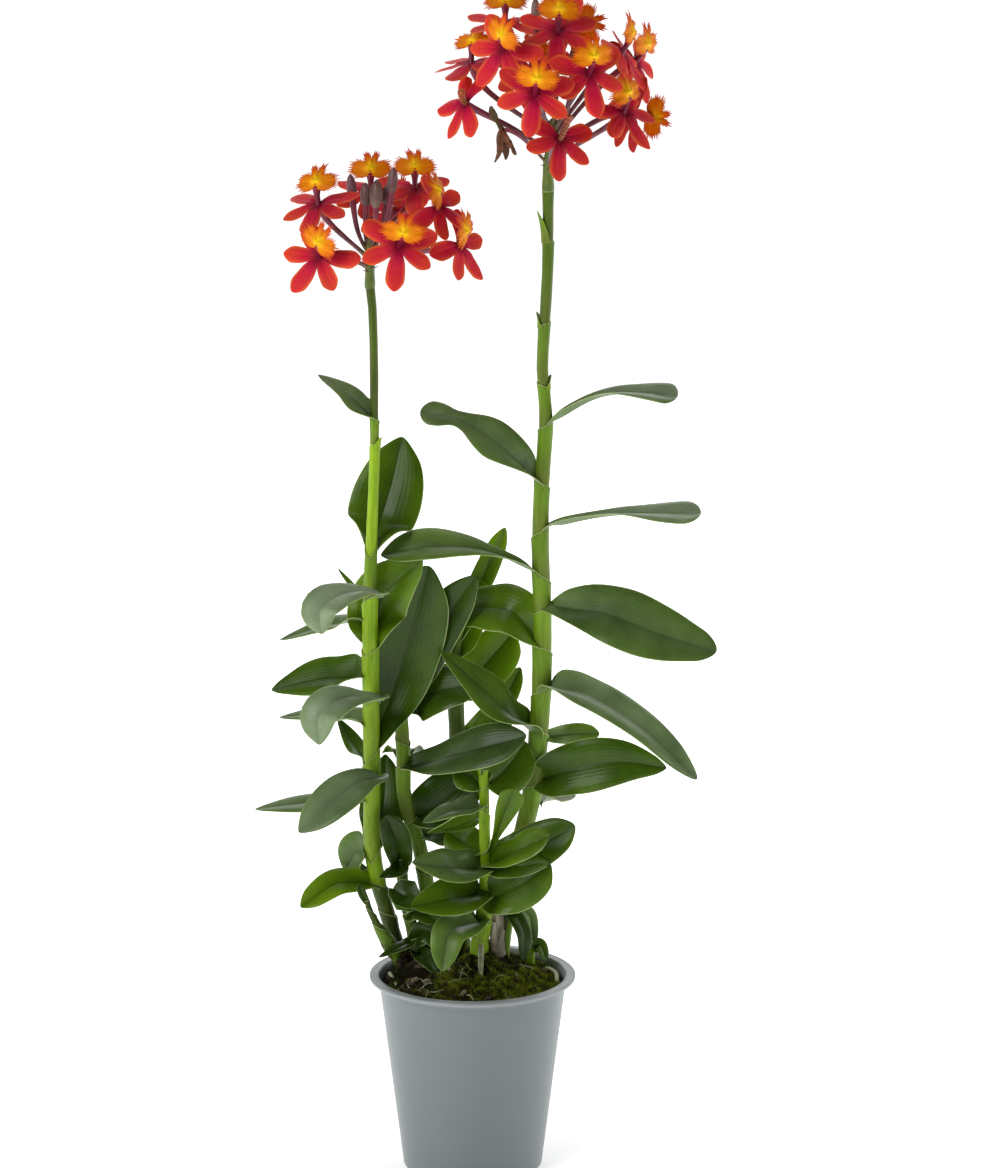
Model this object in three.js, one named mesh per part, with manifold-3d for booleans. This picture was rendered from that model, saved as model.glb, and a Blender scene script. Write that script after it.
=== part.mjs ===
// Reed-stem epidendrum orchid in a plastic nursery pot.
// Millimetres, +Z up, origin at the centre of the pot's base, -Y is the front.
// Two flowering stems, several leafy shoots, a moss-covered potting mix and the pot.
import * as THREE from 'three';
import { mergeVertices } from 'three/addons/utils/BufferGeometryUtils.js';
import Module from 'manifold-3d';

const wasm = await Module();
wasm.setup();

// ---------------------------------------------------------------- driving dimensions
const GAP = 0.3;                 // clearance between pieces that touch
const POT = {
  height: 115, baseRadius: 40.5, rimRadius: 55, flangeRadius: 60, flangeThickness: 2.6,
  wall: 1.4, floor: 2, sides: 32, notchDepth: 4.5, notchHeight: 7.5, notchWidth: 13,
  notchAzimuths: [17, 77, 137, 197, 257, 317],
};
const MIX = { edgeTop: 107.5, moundHeight: 15, bump: 1.4, rings: 4, sides: 20, wallGap: 0.65 };
// Litter heaped round the feet of the stems: place, height and reach.
const HEAPS = [[6, 2, 7, 13], [-34, 8, 10, 13]];
const SOIL_LEVEL = 118;          // height of the moss round the stems
const FOOT_DEPTH = 90;           // height at which the buried stem feet end
const HOLE_TOP = 134;            // the stems' holes in the potting mix end above this height
const SHEATH = { mouth: 0.55, neck: 0.35 };   // how far a mouth stands out, how far the neck draws in
const LEAF = { thickness: 0.8, fold: 0.12, seat: 1.5 };   // seat: depth below the sheath's mouth
const BLOOM = {
  dorsal: { length: 25, width: 10.6 },
  petal: { length: 22, width: 9.6 },
  lateral: { length: 24, width: 11 },
  thickness: 0.8, bow: 1.6, keel: 0.5,          // tips bend back by bow, midribs lie keel deeper
  throatRadius: 2.9, throatDip: 0.3, valleyRadius: 2.3,
  back: 1,                                      // how far the receptacle stands behind
  columnForward: 9.4, columnUp: 4.8,
};
const LIP = { tilt: 30, thickness: 0.7, callus: 1.3, seat: 1.5, rise: 1.5 };
const PEDICEL = { radius: 1.3, budRadius: 1.2, witheredRadius: 1, sides: 4, gap: 3 * GAP };
const COLORS = {
  pot: 0x868f91, mix: 0x3a3d1c, leaf: 0x2f5f2a, spray: 0x5b3038,
  tepal: 0xd0251c, lip: 0xf09a1a, root: 0xc9c59a, stub: 0x8d8068, withered: 0x7a4a34,
};

// ---------------------------------------------------------------- small helpers
const vec = (a) => new THREE.Vector3(a[0], a[1], a[2]);
const rad = THREE.MathUtils.degToRad;
const mix = (a, b, t) => a + (b - a) * t;

// Value at x of a table of places and values, level outside it.
function level(table, x) {
  const k = table.findIndex(([place]) => place >= x);
  if (k <= 0) return table[k < 0 ? table.length - 1 : 0][1];
  const [[x0, y0], [x1, y1]] = [table[k - 1], table[k]];
  return mix(y0, y1, (x - x0) / (x1 - x0));
}

function geometryFrom(points, faces) {
  const g = new THREE.BufferGeometry();
  g.setAttribute('position', new THREE.Float32BufferAttribute(points.flatMap((p) => [p.x, p.y, p.z]), 3));
  g.setIndex(faces.flat());
  return g;
}

// A closed geometry becomes a manifold solid.
function solid(geometry) {
  const bare = geometry.clone();
  bare.deleteAttribute('normal');
  bare.deleteAttribute('uv');
  const merged = mergeVertices(bare, 1e-4);
  return new wasm.Manifold(new wasm.Mesh({
    numProp: 3,
    vertProperties: new Float32Array(merged.attributes.position.array),
    triVerts: new Uint32Array(merged.index.array),
  }));
}

function fuse(solids) {
  return solids.reduce((a, b) => a.add(b));
}

function geometryOf(manifold) {
  const mesh = manifold.getMesh();
  const g = new THREE.BufferGeometry();
  g.setAttribute('position', new THREE.Float32BufferAttribute(mesh.vertProperties, 3));
  g.setIndex(Array.from(mesh.triVerts));
  return g;
}

// Closed skin through rings of equal count, with a fan on each end.
function loft(rings) {
  const n = rings[0].length;
  const points = rings.flat();
  const faces = [];
  for (let k = 0; k + 1 < rings.length; k += 1) {
    for (let i = 0; i < n; i += 1) {
      const a = k * n + i;
      const b = k * n + (i + 1) % n;
      faces.push([a, b, b + n], [a, b + n, a + n]);
    }
  }
  const ends = [rings[0], rings[rings.length - 1]];
  ends.forEach((ring, e) => {
    const centre = ring.reduce((s, p) => s.add(p), new THREE.Vector3()).divideScalar(n);
    const c = points.push(centre) - 1;
    const base = e === 0 ? 0 : (rings.length - 1) * n;
    for (let i = 0; i < n; i += 1) {
      const a = base + i;
      const b = base + (i + 1) % n;
      faces.push(e === 0 ? [c, b, a] : [c, a, b]);
    }
  });
  return geometryFrom(points, faces);
}

// Round rod of changing radius along a line of stations.
function rod(stations, radii, sides) {
  let side = new THREE.Vector3(1, 0, 0);
  const rings = stations.map((p, k) => {
    const before = stations[Math.max(k - 1, 0)];
    const after = stations[Math.min(k + 1, stations.length - 1)];
    const along = after.clone().sub(before).normalize();
    if (Math.abs(side.dot(along)) > 0.95) side = new THREE.Vector3(0, 1, 0);
    side = side.clone().addScaledVector(along, -side.dot(along)).normalize();
    const up = along.clone().cross(side);
    return Array.from({ length: sides }, (_, i) => {
      const a = (2 * Math.PI * i) / sides;
      return p.clone().addScaledVector(side, radii[k] * Math.cos(a))
        .addScaledVector(up, radii[k] * Math.sin(a));
    });
  });
  return loft(rings);
}

// Thin sheet over a grid of points: both faces are split into the same triangles.
function sheet(grid, normals, thickness) {
  const rows = grid.length;
  const cols = grid[0].length;
  const count = rows * cols;
  const at = (r, c) => r * cols + c;
  const shift = (sign) => grid.flatMap((row, r) => row.map((p, c) => (
    p.clone().addScaledVector(normals[r][c] ?? normals[r][0], sign * thickness / 2))));
  const points = [...shift(1), ...shift(-1)];
  const faces = [];
  for (let r = 0; r + 1 < rows; r += 1) {
    for (let c = 0; c + 1 < cols; c += 1) {
      const q = [at(r, c), at(r, c + 1), at(r + 1, c + 1), at(r + 1, c)];
      const split = c < (cols - 1) / 2 ? [[q[0], q[1], q[2]], [q[0], q[2], q[3]]]
        : [[q[0], q[1], q[3]], [q[1], q[2], q[3]]];
      split.forEach((t) => {
        faces.push(t, [t[2] + count, t[1] + count, t[0] + count]);
      });
    }
  }
  const rim = [];
  for (let c = 0; c < cols - 1; c += 1) rim.push(at(0, c));
  for (let r = 0; r < rows - 1; r += 1) rim.push(at(r, cols - 1));
  for (let c = cols - 1; c > 0; c -= 1) rim.push(at(rows - 1, c));
  for (let r = rows - 1; r > 0; r -= 1) rim.push(at(r, 0));
  rim.forEach((a, i) => {
    const b = rim[(i + 1) % rim.length];
    faces.push([a, a + count, b + count], [a, b + count, b]);
  });
  return geometryFrom(points, faces);
}

// ---------------------------------------------------------------- pot and potting mix
function potInnerRadius(z) {
  return mix(POT.baseRadius, POT.rimRadius, z / POT.height) - POT.wall;
}

function potSolid() {
  const { height: h, flangeRadius: f, flangeThickness: t } = POT;
  const profile = [
    [0, 0], [POT.baseRadius - 1.2, 0], [POT.baseRadius, 1.2], [POT.rimRadius - 1, h - t - 5],
    [POT.rimRadius, h - t], [f - 0.7, h - t], [f, h - t + 0.8], [f, h - 0.8], [f - 0.8, h],
    [POT.rimRadius - 0.6, h], [potInnerRadius(h - 3), h - 3], [potInnerRadius(POT.floor), POT.floor],
    [0, POT.floor],
  ].map(([r, z]) => new THREE.Vector2(r, z));
  const body = new THREE.LatheGeometry(profile, POT.sides);
  body.rotateX(Math.PI / 2);
  const notches = POT.notchAzimuths.map((azimuth) => {
    const box = new THREE.BoxGeometry(2 * POT.notchDepth, POT.notchWidth, 2 * POT.notchHeight);
    box.translate(POT.baseRadius, 0, 0);
    box.rotateZ(rad(azimuth));
    return solid(box);
  });
  return notches.reduce((a, b) => a.subtract(b), solid(body));
}

// Height of the moss surface: a low mound with soft bumps and heaps of litter.
function mossHeight(x, y) {
  const q = Math.min(Math.hypot(x, y - 4) / POT.rimRadius, 1);
  const bumps = Math.sin(0.31 * x + 1.2) * Math.cos(0.27 * y - 0.4) + 0.6 * Math.sin(0.53 * y + 0.41 * x);
  const heap = HEAPS.reduce((sum, [hx, hy, height, reach]) => (
    sum + height * Math.exp(-((x - hx) ** 2 + (y - hy) ** 2) / reach ** 2)), 0);
  return MIX.edgeTop + MIX.moundHeight * (1 - q * q) + (MIX.bump * bumps + heap) * (1 - q ** 6);
}

function mixSolid(holes) {
  const floor = POT.floor + GAP;
  const ring = (radius, z) => Array.from({ length: MIX.sides }, (_, i) => {
    const a = (2 * Math.PI * i) / MIX.sides;
    const x = radius * Math.cos(a);
    const y = radius * Math.sin(a);
    return new THREE.Vector3(x, y, z ?? mossHeight(x, y));
  });
  const bottom = potInnerRadius(floor) - MIX.wallGap;
  const edge = potInnerRadius(MIX.edgeTop) - MIX.wallGap;
  const rings = [ring(bottom, floor)];
  for (let k = 0; k < MIX.rings; k += 1) {
    rings.push(ring(edge * (1 - k / MIX.rings)));
  }
  return holes.reduce((a, b) => a.subtract(b), solid(loft(rings)));
}

// ---------------------------------------------------------------- stems with leaves
// A stem follows its points from the foot up.  Every sheath is a little wider at its mouth
// and the next length of stem starts narrower above it.
function stemStations(stem) {
  const curve = new THREE.CatmullRomCurve3(stem.points.map(vec), false, 'centripetal');
  const dense = curve.getPoints(400);
  const atHeight = (z) => {
    const found = dense.findIndex((p) => p.z >= z);
    const i = found < 0 ? dense.length - 1 : Math.max(found, 1);
    const a = dense[i - 1];
    const b = dense[i];
    return a.clone().lerp(b, THREE.MathUtils.clamp((z - a.z) / (b.z - a.z || 1), 0, 1));
  };
  const high = stem.points[stem.points.length - 1][2];
  const radiusAt = (z) => level(stem.radii, z);
  const stations = [];
  const radii = [];
  const put = (z, r) => {
    stations.push(atHeight(z));
    radii.push(r);
  };
  put(stem.points[0][2], radiusAt(0));
  stem.radii.filter(([z]) => z < stem.joints[0] - 2).forEach(([z, radius]) => put(z, radius));
  let last = SOIL_LEVEL;
  stem.joints.forEach((z) => {
    if (z - last > 60) put((z + last) / 2, radiusAt((z + last) / 2));
    put(z - 1, radiusAt(z) + SHEATH.mouth);
    put(z + 1, radiusAt(z) - SHEATH.neck);
    last = z;
  });
  put(high, radiusAt(high));
  return { stations, radii, atHeight };
}

const LEAF_STEPS = [0, 0.2, 0.5, 0.83, 1];
// Share of the full width at each step.
const LEAF_OUTLINES = {
  oval: [0.12, 0.8, 1, 0.76, 0.1],
  lance: [0.12, 0.83, 1, 0.52, 0.04],
  acute: [0.12, 0.8, 0.98, 0.56, 0.04],
  blade: [0.12, 0.76, 1, 0.68, 0.1],
  broad: [0.12, 0.8, 1, 0.74, 0.12],
  spoon: [0.12, 0.34, 0.63, 1, 0.3],
  paddle: [0.12, 0.48, 0.9, 0.95, 0.2],
  hook: [0.12, 0.48, 1, 0.7, 0.06],
};

function leafSolid(root, [, middle, tip, width, outline, face, tipFace, turn]) {
  const curve = new THREE.CatmullRomCurve3([root, ...middle.map(vec), vec(tip)], false, 'centripetal');
  const faceRoot = vec(face).normalize();
  const faceTip = vec(tipFace ?? face).normalize();
  const grid = [];
  const normals = [];
  LEAF_STEPS.forEach((t, k) => {
    const p = curve.getPoint(t);
    const along = curve.getTangent(t);
    const turned = faceRoot.clone().lerp(faceTip, turn ? THREE.MathUtils.smoothstep(t, ...turn) : t);
    turned.addScaledVector(along, -turned.dot(along)).normalize();
    const side = along.clone().cross(turned);
    const half = (width * LEAF_OUTLINES[outline][k]) / 2;
    const rise = 2 * half * LEAF.fold;
    grid.push([-1, 0, 1].map((s) => (
      p.clone().addScaledVector(side, s * half).addScaledVector(turned, Math.abs(s) * rise - rise / 2))));
    normals.push([turned, turned, turned]);
  });
  return solid(sheet(grid, normals, LEAF.thickness));
}

function stemSolid(stem) {
  const { stations, radii, atHeight } = stemStations(stem);
  const pieces = [solid(rod(stations, radii, stem.sides))];
  stem.leaves.forEach((leaf) => pieces.push(leafSolid(atHeight(leaf[0] - LEAF.seat), leaf)));
  return fuse(pieces);
}

// The plain hole that a stem or root stands in.
function holeFor(points, radius) {
  const stations = points.map(vec);
  const down = stations[0].clone().sub(stations[1]).setLength(GAP);
  stations[0].add(down);
  return solid(rod(stations, stations.map(() => (radius + GAP) / Math.cos(Math.PI / 6)), 6));
}

// Each leaf: height of its node, middle points, tip, width, outline, facing, facing at the tip,
// and where along the blade the turn between the two facings starts and ends.
const STEMS = {
  tall_cane: {
    points: [[16, 16, FOOT_DEPTH], [16, 16, 123], [22, 14, 167], [29, 12, 195], [35, 10, 222], [38, 9, 252],
      [40, 7, 288], [40, 6, 336], [39, 5, 371], [40, 4, 406], [42, 3, 441], [40, 3, 470], [41, 2, 493],
      [42, 2, 510], [43, 2, 532], [43, 2, 555], [43, 2, 572]],
    radii: [[118, 5.7], [300, 5.7], [344, 5.3], [400, 4.5], [432, 4.2], [458, 3.4], [572, 3]],
    sides: 6,
    joints: [146, 176, 200, 228, 257, 285, 312, 334, 354, 380, 407, 440, 463, 498, 546],
    leaves: [
      [441, [[71, -2, 455], [95, -8, 459]], [116, -12, 457], 26, 'spoon', [0, 0, 1], [0.1, -0.35, 0.93]],
      [407, [[16, -8, 429], [-5, -6, 443]], [-29, 0, 446], 26, 'broad', [0, -0.6, 0.8], [0, 0.85, 0.5],
        [0.6, 0.85]],
      [381, [[73, 0, 386], [101, -4, 389]], [130, -8, 389], 26, 'spoon', [0, 0, 1], [0.1, -0.35, 0.93]],
      [354, [[10, -4, 368], [-18, -2, 370]], [-52, 1, 364], 28, 'broad', [0, -0.3, 1], [0, 0.9, 0.4],
        [0.25, 0.55]],
      [335, [[73, -8, 332], [104, -16, 322]], [139, -22, 312], 36, 'blade', [0.1, -0.85, 0.5]],
      [313, [[23, 2, 330], [5, 14, 330]], [-19, 28, 324], 32, 'broad', [0, -0.8, 0.6]],
      [286, [[62, -10, 287], [96, -24, 271]], [128, -34, 240], 28, 'oval', [0.1, -0.4, 0.9],
        [0.3, -0.45, 0.85]],
      [259, [[19, -4, 274], [2, -2, 290]], [-18, 4, 306], 24, 'lance', [-0.2, -0.45, 0.85]],
      [257, [[60, 26, 252]], [74, 34, 250], 14, 'oval', [0, -0.4, 0.9]],
      [230, [[59, 2, 237], [86, -2, 242]], [112, 0, 238], 31, 'lance', [0, -0.95, 0.3]],
      [216, [[47, 40, 210]], [57, 62, 207], 20, 'oval', [0, -0.2, 1]],
      [146, [[24, 4, 149], [30, 1, 138]], [29.5, 0, 122], 10, 'oval', [0.4, -0.85, 0.3]],
    ],
  },
  short_cane: {
    points: [[-42, 15, FOOT_DEPTH], [-43, 15, 123], [-46, 15, 131], [-49, 15, 144], [-54, 10, 163],
      [-58, 5, 188], [-58, 0, 219], [-58, -4, 256], [-58, -7, 292], [-58, -10, 339], [-57, -10, 374],
      [-55, -10, 420], [-55, -9, 454], [-55, -9, 483], [-56, -8, 511], [-57, -8, 519]],
    radii: [[118, 4.6], [200, 4.9], [300, 4.9], [334, 4.5], [362, 3.5], [432, 2.6], [519, 2.2]],
    sides: 6,
    joints: [150, 168, 193, 222, 255, 281, 298, 315, 343, 376, 430, 446],
    leaves: [
      [447, [[-63, -10, 452], [-71, -6, 459]], [-87, 2, 467], 20, 'lance', [0.2, -0.6, 0.75]],
      [376, [[-51, 10, 385], [-46, 18, 403]], [-40, 26, 427], 40, 'acute', [0, -0.95, 0.3]],
      [343, [[-57, -24, 345], [-72, -41, 344]], [-87, -50, 329], 32, 'hook', [0, -0.1, 1],
        [-0.35, -0.8, 0.45]],
      [331, [[-82, 8, 321]], [-111, 16, 310], 17, 'lance', [0, -0.35, 0.93]],
      [315, [[-51, -2, 332]], [-28, -12, 363], 40, 'acute', [-0.2, -0.95, 0.25]],
      [298, [[-88, 6, 290]], [-116, 14, 281], 27, 'lance', [0, -0.65, 0.76]],
      [281, [[-57, -23, 285], [-75, -40, 284]], [-90, -48, 264], 32, 'hook', [0, -0.15, 1],
        [-0.35, -0.8, 0.45]],
      [268, [[-82, 10, 268]], [-112, 20, 263], 19, 'lance', [0, -0.3, 0.95]],
      [255, [[-45, 8, 287]], [-24, 7, 356], 37, 'acute', [0.15, -0.95, 0.3]],
      [242, [[-68, 10, 249]], [-78, 18, 263], 15, 'lance', [0.5, -0.5, 0.5]],
      [234, [[-60, -20, 237], [-76, -34, 230]], [-98, -46, 212], 31, 'hook', [0, -0.4, 0.9],
        [-0.25, -0.75, 0.6]],
      [222, [[-94, 14, 214]], [-127, 24, 207], 20, 'lance', [0, -0.35, 0.93]],
      [193, [[-52, 24, 210]], [-51, 36, 237], 27, 'acute', [0, -0.95, 0.3]],
      [191, [[-68, 12, 184]], [-74, 14, 172], 24, 'lance', [-0.2, -0.9, 0.3]],
      [168, [[-78, -2, 170]], [-99, -12, 158], 19, 'oval', [0, -0.6, 0.8]],
    ],
  },
  mid_cane: {
    points: [[-23, 12, FOOT_DEPTH], [-23, 12, 125], [-24, 12, 140], [-27, 13, 164], [-31, 14, 188],
      [-37, 14, 206], [-40, 14, 221], [-40, 14, 239], [-41, 15, 260], [-43, 16, 276]],
    radii: [[118, 4.8], [276, 4]],
    sides: 6,
    joints: [150, 176, 206, 238, 254, 270],
    leaves: [
      [206, [[-16, 16, 216]], [7, 18, 233], 30, 'oval', [0, -0.9, 0.4]],
      [238, [[-24, 0, 242], [2, -14, 253]], [31, -20, 262], 28, 'paddle', [0, -0.7, 0.7]],
      [244, [[-40, 34, 239]], [-41, 52, 236], 26, 'oval', [0, 0.1, 1]],
      [271, [[-34, 18, 273], [-16, 12, 282]], [6, 8, 285], 30, 'oval', [0, -0.75, 0.65]],
      [275, [[-27, 17, 305]], [2, 4, 350], 28, 'oval', [0, -0.9, 0.4]],
      [196, [[-19, 22, 194]], [-12, 26, 194], 20, 'oval', [0, -0.7, 0.6]],
    ],
  },
  back_cane: {
    points: [[-6, 26, FOOT_DEPTH], [-6, 26, 118], [-8, 30, 150], [-9, 33, 198], [-9, 34, 246],
      [-10, 34, 276], [-10, 34, 306], [-6, 34, 324]],
    radii: [[118, 5], [324, 4.6]],
    sides: 6,
    joints: [140, 170, 205, 241, 275, 300],
    leaves: [
      [310, [[6, 40, 342]], [19, 46, 370], 14, 'oval', [0.2, -0.95, 0.1]],
      [275, [[10, 44, 292]], [24, 52, 307], 30, 'oval', [0.2, -0.95, 0.2]],
      [249, [[16, 48, 264]], [28, 58, 284], 14, 'oval', [0.2, -0.9, 0.2]],
      [275, [[-20, 42, 277]], [-38, 46, 261], 26, 'oval', [-0.2, -0.9, 0.3]],
      [300, [[-2, 36, 324]], [5, 38, 341], 24, 'oval', [0.2, -0.9, 0.2]],
      [241, [[4, 30, 258]], [18, 24, 267], 26, 'oval', [0.2, -0.9, 0.2]],
    ],
  },
  front_cane: {
    points: [[4, 0, FOOT_DEPTH], [4, 0, 131], [6, -1, 144], [7, -3, 163], [8, -5, 180], [7, -7, 203],
      [7, -8, 221], [6, -8, 240]],
    radii: [[118, 4.8], [165, 3.7], [240, 2.5]],
    sides: 6,
    joints: [138, 165, 184, 216, 232],
    leaves: [
      [232, [[19, -4, 238]], [31, 2, 253], 30, 'oval', [0.2, -0.9, 0.3]],
      [230, [[-1, -4, 235]], [-10, 0, 238], 22, 'oval', [0, -0.8, 0.5]],
      [219, [[-10, -22, 219]], [-28, -32, 214], 18, 'lance', [0, -0.25, 0.97]],
      [191, [[16, -22, 210]], [24, -26, 232], 15, 'spoon', [0.4, -0.85, 0.3]],
      [184, [[27, -30, 198]], [44, -38, 208], 20, 'oval', [0, -0.7, 0.7]],
      [183, [[33, -14, 193]], [59, -16, 208], 27, 'oval', [0.1, -0.85, 0.5]],
      [182, [[-13, -28, 187]], [-34, -38, 192], 25, 'lance', [0, -0.65, 0.75]],
      [168, [[-13, -28, 168]], [-35, -38, 166], 26, 'lance', [0, -0.75, 0.66]],
      [162, [[28, -16, 173]], [45, -22, 187], 30, 'oval', [0.1, -0.85, 0.5]],
      [150, [[-3, -18, 150], [-12, -34, 149]], [-15, -43, 129], 27, 'oval', [0, -0.5, 0.87],
        [-0.1, -0.95, 0.3]],
    ],
  },
  side_shoot: {
    points: [[-33, 4, FOOT_DEPTH], [-33, 4, 124], [-35, 5, 139], [-39, 4, 158], [-42, 3, 184]],
    radii: [[118, 4], [184, 3]],
    sides: 6,
    joints: [136, 152, 161, 179],
    leaves: [
      [181, [[-43, -6, 197]], [-48, -9, 212], 22, 'oval', [0.2, -0.95, 0.2]],
      [182, [[-44, -14, 180]], [-53, -24, 179], 12, 'lance', [0, -0.4, 0.9]],
      [161, [[-39, -12, 165]], [-44, -20, 162], 20, 'oval', [-0.2, -0.9, 0.3]],
      [152, [[-30, -7, 155]], [-20, -11, 149], 14, 'oval', [0.1, -0.8, 0.5]],
    ],
  },
  right_shoot: {
    points: [[34, 12, FOOT_DEPTH + 8], [34, 12, 118], [34, 12, 124], [34, 12, 132]],
    radii: [[118, 2.2], [132, 1.8]],
    sides: 6,
    joints: [124, 128],
    leaves: [
      [131, [[33.5, 9, 146]], [25, 4, 155], 9, 'oval', [0.5, -0.8, 0.2]],
      [128, [[39, 10, 129]], [43, 8, 120], 8, 'oval', [0.4, -0.8, 0.4]],
    ],
  },
  left_shoot: {
    points: [[-41, 5, FOOT_DEPTH + 8], [-42, 3, 120], [-46.5, 0, 128], [-50, -2, 136], [-54, -4, 143.5],
      [-58.5, -5, 152], [-61.5, -5, 161]],
    radii: [[118, 2.4], [130, 2.8], [136, 4.5], [142, 3], [146, 2], [161, 1.4]],
    sides: 6,
    joints: [147, 157],
    leaves: [
      [160, [[-64, -6, 165]], [-65.5, -6, 170], 5, 'oval', [0.3, -0.9, 0.3]],
    ],
  },
};

// Dry stub of an old cane and the bare roots: points from the buried end, and two radii.
const RODS = {
  old_stub: {
    points: [[15.5, 2.5, FOOT_DEPTH], [15, 2.5, 122], [14, 3, 136], [15, 4, 152]],
    radii: [5, 3.2],
  },
  root_front: {
    points: [[4.5, -24, 100], [4.5, -23.5, 114], [4.8, -19, 124], [5, -12, 131], [5, -5, 133]],
    radii: [1.6, 1.6],
  },
  root_left: {
    points: [[-47, 4, 100], [-48, 4.5, 112], [-48, 1, 114], [-45.5, -7, 112], [-43.6, -13, 110],
      [-43, -14, 100]],
    radii: [1.4, 1.2],
  },
  root_right: {
    points: [[40, 10, 100], [40.5, 9.6, 112], [44, 8, 115], [48.4, 4, 113.5], [49, -4, 110],
      [48.6, -5, 100]],
    radii: [1.2, 1.2],
  },
};

// ---------------------------------------------------------------- flowers
// A flower's frame: forward out of its face, up towards its lip, right along its petals.
function flowerFrame([yaw, pitch, roll]) {
  const y = rad(yaw);
  const p = rad(pitch);
  const q = rad(roll);
  const forward = new THREE.Vector3(Math.cos(p) * Math.sin(y), -Math.cos(p) * Math.cos(y), Math.sin(p));
  const side = new THREE.Vector3(Math.cos(y), Math.sin(y), 0);
  const top = forward.clone().cross(side);
  const up = top.clone().multiplyScalar(Math.cos(q)).addScaledVector(side, Math.sin(q));
  const right = side.clone().multiplyScalar(Math.cos(q)).addScaledVector(top, -Math.sin(q));
  return { forward, up, right };
}

const TEPALS = [
  { angle: -90, size: BLOOM.dorsal }, { angle: -28, size: BLOOM.petal }, { angle: -152, size: BLOOM.petal },
  { angle: 28, size: BLOOM.lateral }, { angle: 152, size: BLOOM.lateral },
];
const TEPAL_ROWS = [[0.36, 0.84], [0.78, 0.94]];   // share of the length, share of the width
const COLUMN_RINGS = [[0.12, 1.4], [1, 2.2]];   // share of the column's length, radius

function columnEnd(centre, frame) {
  return centre.clone().addScaledVector(frame.forward, BLOOM.columnForward)
    .addScaledVector(frame.up, BLOOM.columnUp);
}

// Five tepals and the column grow from one throat, so a bloom is a single closed skin:
// a front face and a back face over the same star, joined round the edge, with the column
// standing on the front.
function bloomSolid(flower) {
  const frame = flowerFrame(flower.pose);
  const centre = vec(flower.at);
  const place = (angle, along, across, bow) => {
    const a = rad(angle);
    const out = frame.right.clone().multiplyScalar(Math.cos(a)).addScaledVector(frame.up, Math.sin(a));
    const side = frame.forward.clone().cross(out);
    return centre.clone().addScaledVector(out, along).addScaledVector(side, across)
      .addScaledVector(frame.forward, bow);
  };
  const star = [];
  const faces = [];
  const rim = [];
  const tepals = [...TEPALS].sort((a, b) => a.angle - b.angle);
  const count = tepals.length;
  const valley = (i) => 2 * (i % count);
  const root = (i) => 2 * (i % count) + 1;
  tepals.forEach(({ angle }, i) => {
    const before = tepals[(i + count - 1) % count].angle - (i === 0 ? 360 : 0);
    star.push(place((before + angle) / 2, BLOOM.valleyRadius, 0, 0));
    star.push(place(angle, BLOOM.throatRadius, 0, -BLOOM.throatDip));
  });
  const front = [];
  tepals.forEach(({ angle, size }, i) => {
    let row = [valley(i), root(i), valley(i + 1)];
    const right = [];
    const left = [];
    TEPAL_ROWS.forEach(([t, w]) => {
      const half = (size.width * w) / 2;
      const bow = -BLOOM.bow * t * t;
      const next = [-half, 0, half].map((across) => (
        star.push(place(angle, size.length * t, across, across === 0 ? bow - BLOOM.keel : bow)) - 1));
      front.push([row[0], next[0], next[1]], [row[0], next[1], row[1]]);
      front.push([row[1], next[1], row[2]], [next[1], next[2], row[2]]);
      right.push(next[0]);
      left.unshift(next[2]);
      row = next;
    });
    const tip = star.push(place(angle, size.length, 0, -BLOOM.bow)) - 1;
    front.push([row[0], tip, row[1]], [row[1], tip, row[2]]);
    rim.push(valley(i), ...right, tip, ...left);
  });
  const n = star.length;
  const half = frame.forward.clone().multiplyScalar(BLOOM.thickness / 2);
  const points = [...star.map((p) => p.clone().add(half)), ...star.map((p) => p.clone().sub(half))];
  front.forEach(([a, b, c]) => faces.push([a, b, c], [c + n, b + n, a + n]));
  rim.forEach((a, i) => {
    const b = rim[(i + 1) % rim.length];
    faces.push([a, a + n, b + n], [a, b + n, b]);
  });
  const hub = points.push(centre.clone().addScaledVector(frame.forward, -BLOOM.back)) - 1;
  for (let k = 0; k < 2 * count; k += 1) faces.push([hub, (k + 1) % (2 * count) + n, k + n]);
  const end = columnEnd(centre, frame);
  const axis = end.clone().sub(centre).normalize();
  const across = frame.right;
  const rise = axis.clone().cross(across).negate();
  const rings = COLUMN_RINGS.map(([t, radius]) => {
    const at = centre.clone().lerp(end, t);
    return tepals.map(({ angle }) => points.push(at.clone()
      .addScaledVector(across, radius * Math.cos(rad(angle)))
      .addScaledVector(rise, radius * Math.sin(rad(angle)))) - 1);
  });
  for (let i = 0; i < count; i += 1) {
    const j = (i + 1) % count;
    faces.push([valley(j), rings[0][j], rings[0][i]], [root(i), valley(j), rings[0][i]]);
    faces.push([valley(j), root(j), rings[0][j]]);
    faces.push([rings[0][i], rings[0][j], rings[1][j]], [rings[0][i], rings[1][j], rings[1][i]]);
  }
  const last = points.push(end.clone()) - 1;
  for (let i = 0; i < count; i += 1) faces.push([last, rings[1][i], rings[1][(i + 1) % count]]);
  return solid(geometryFrom(points, faces));
}

// Half outline of the lip as angle and radius, from the cleft of the middle lobe to the base.
const LIP_HALF = [
  [90, 7], [80, 10.6], [68, 10], [54, 5], [37, 8.4], [22, 10.4], [6, 11.6], [-10, 11.4], [-26, 10],
  [-46, 7.4], [-90, 3.4],
];

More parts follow.
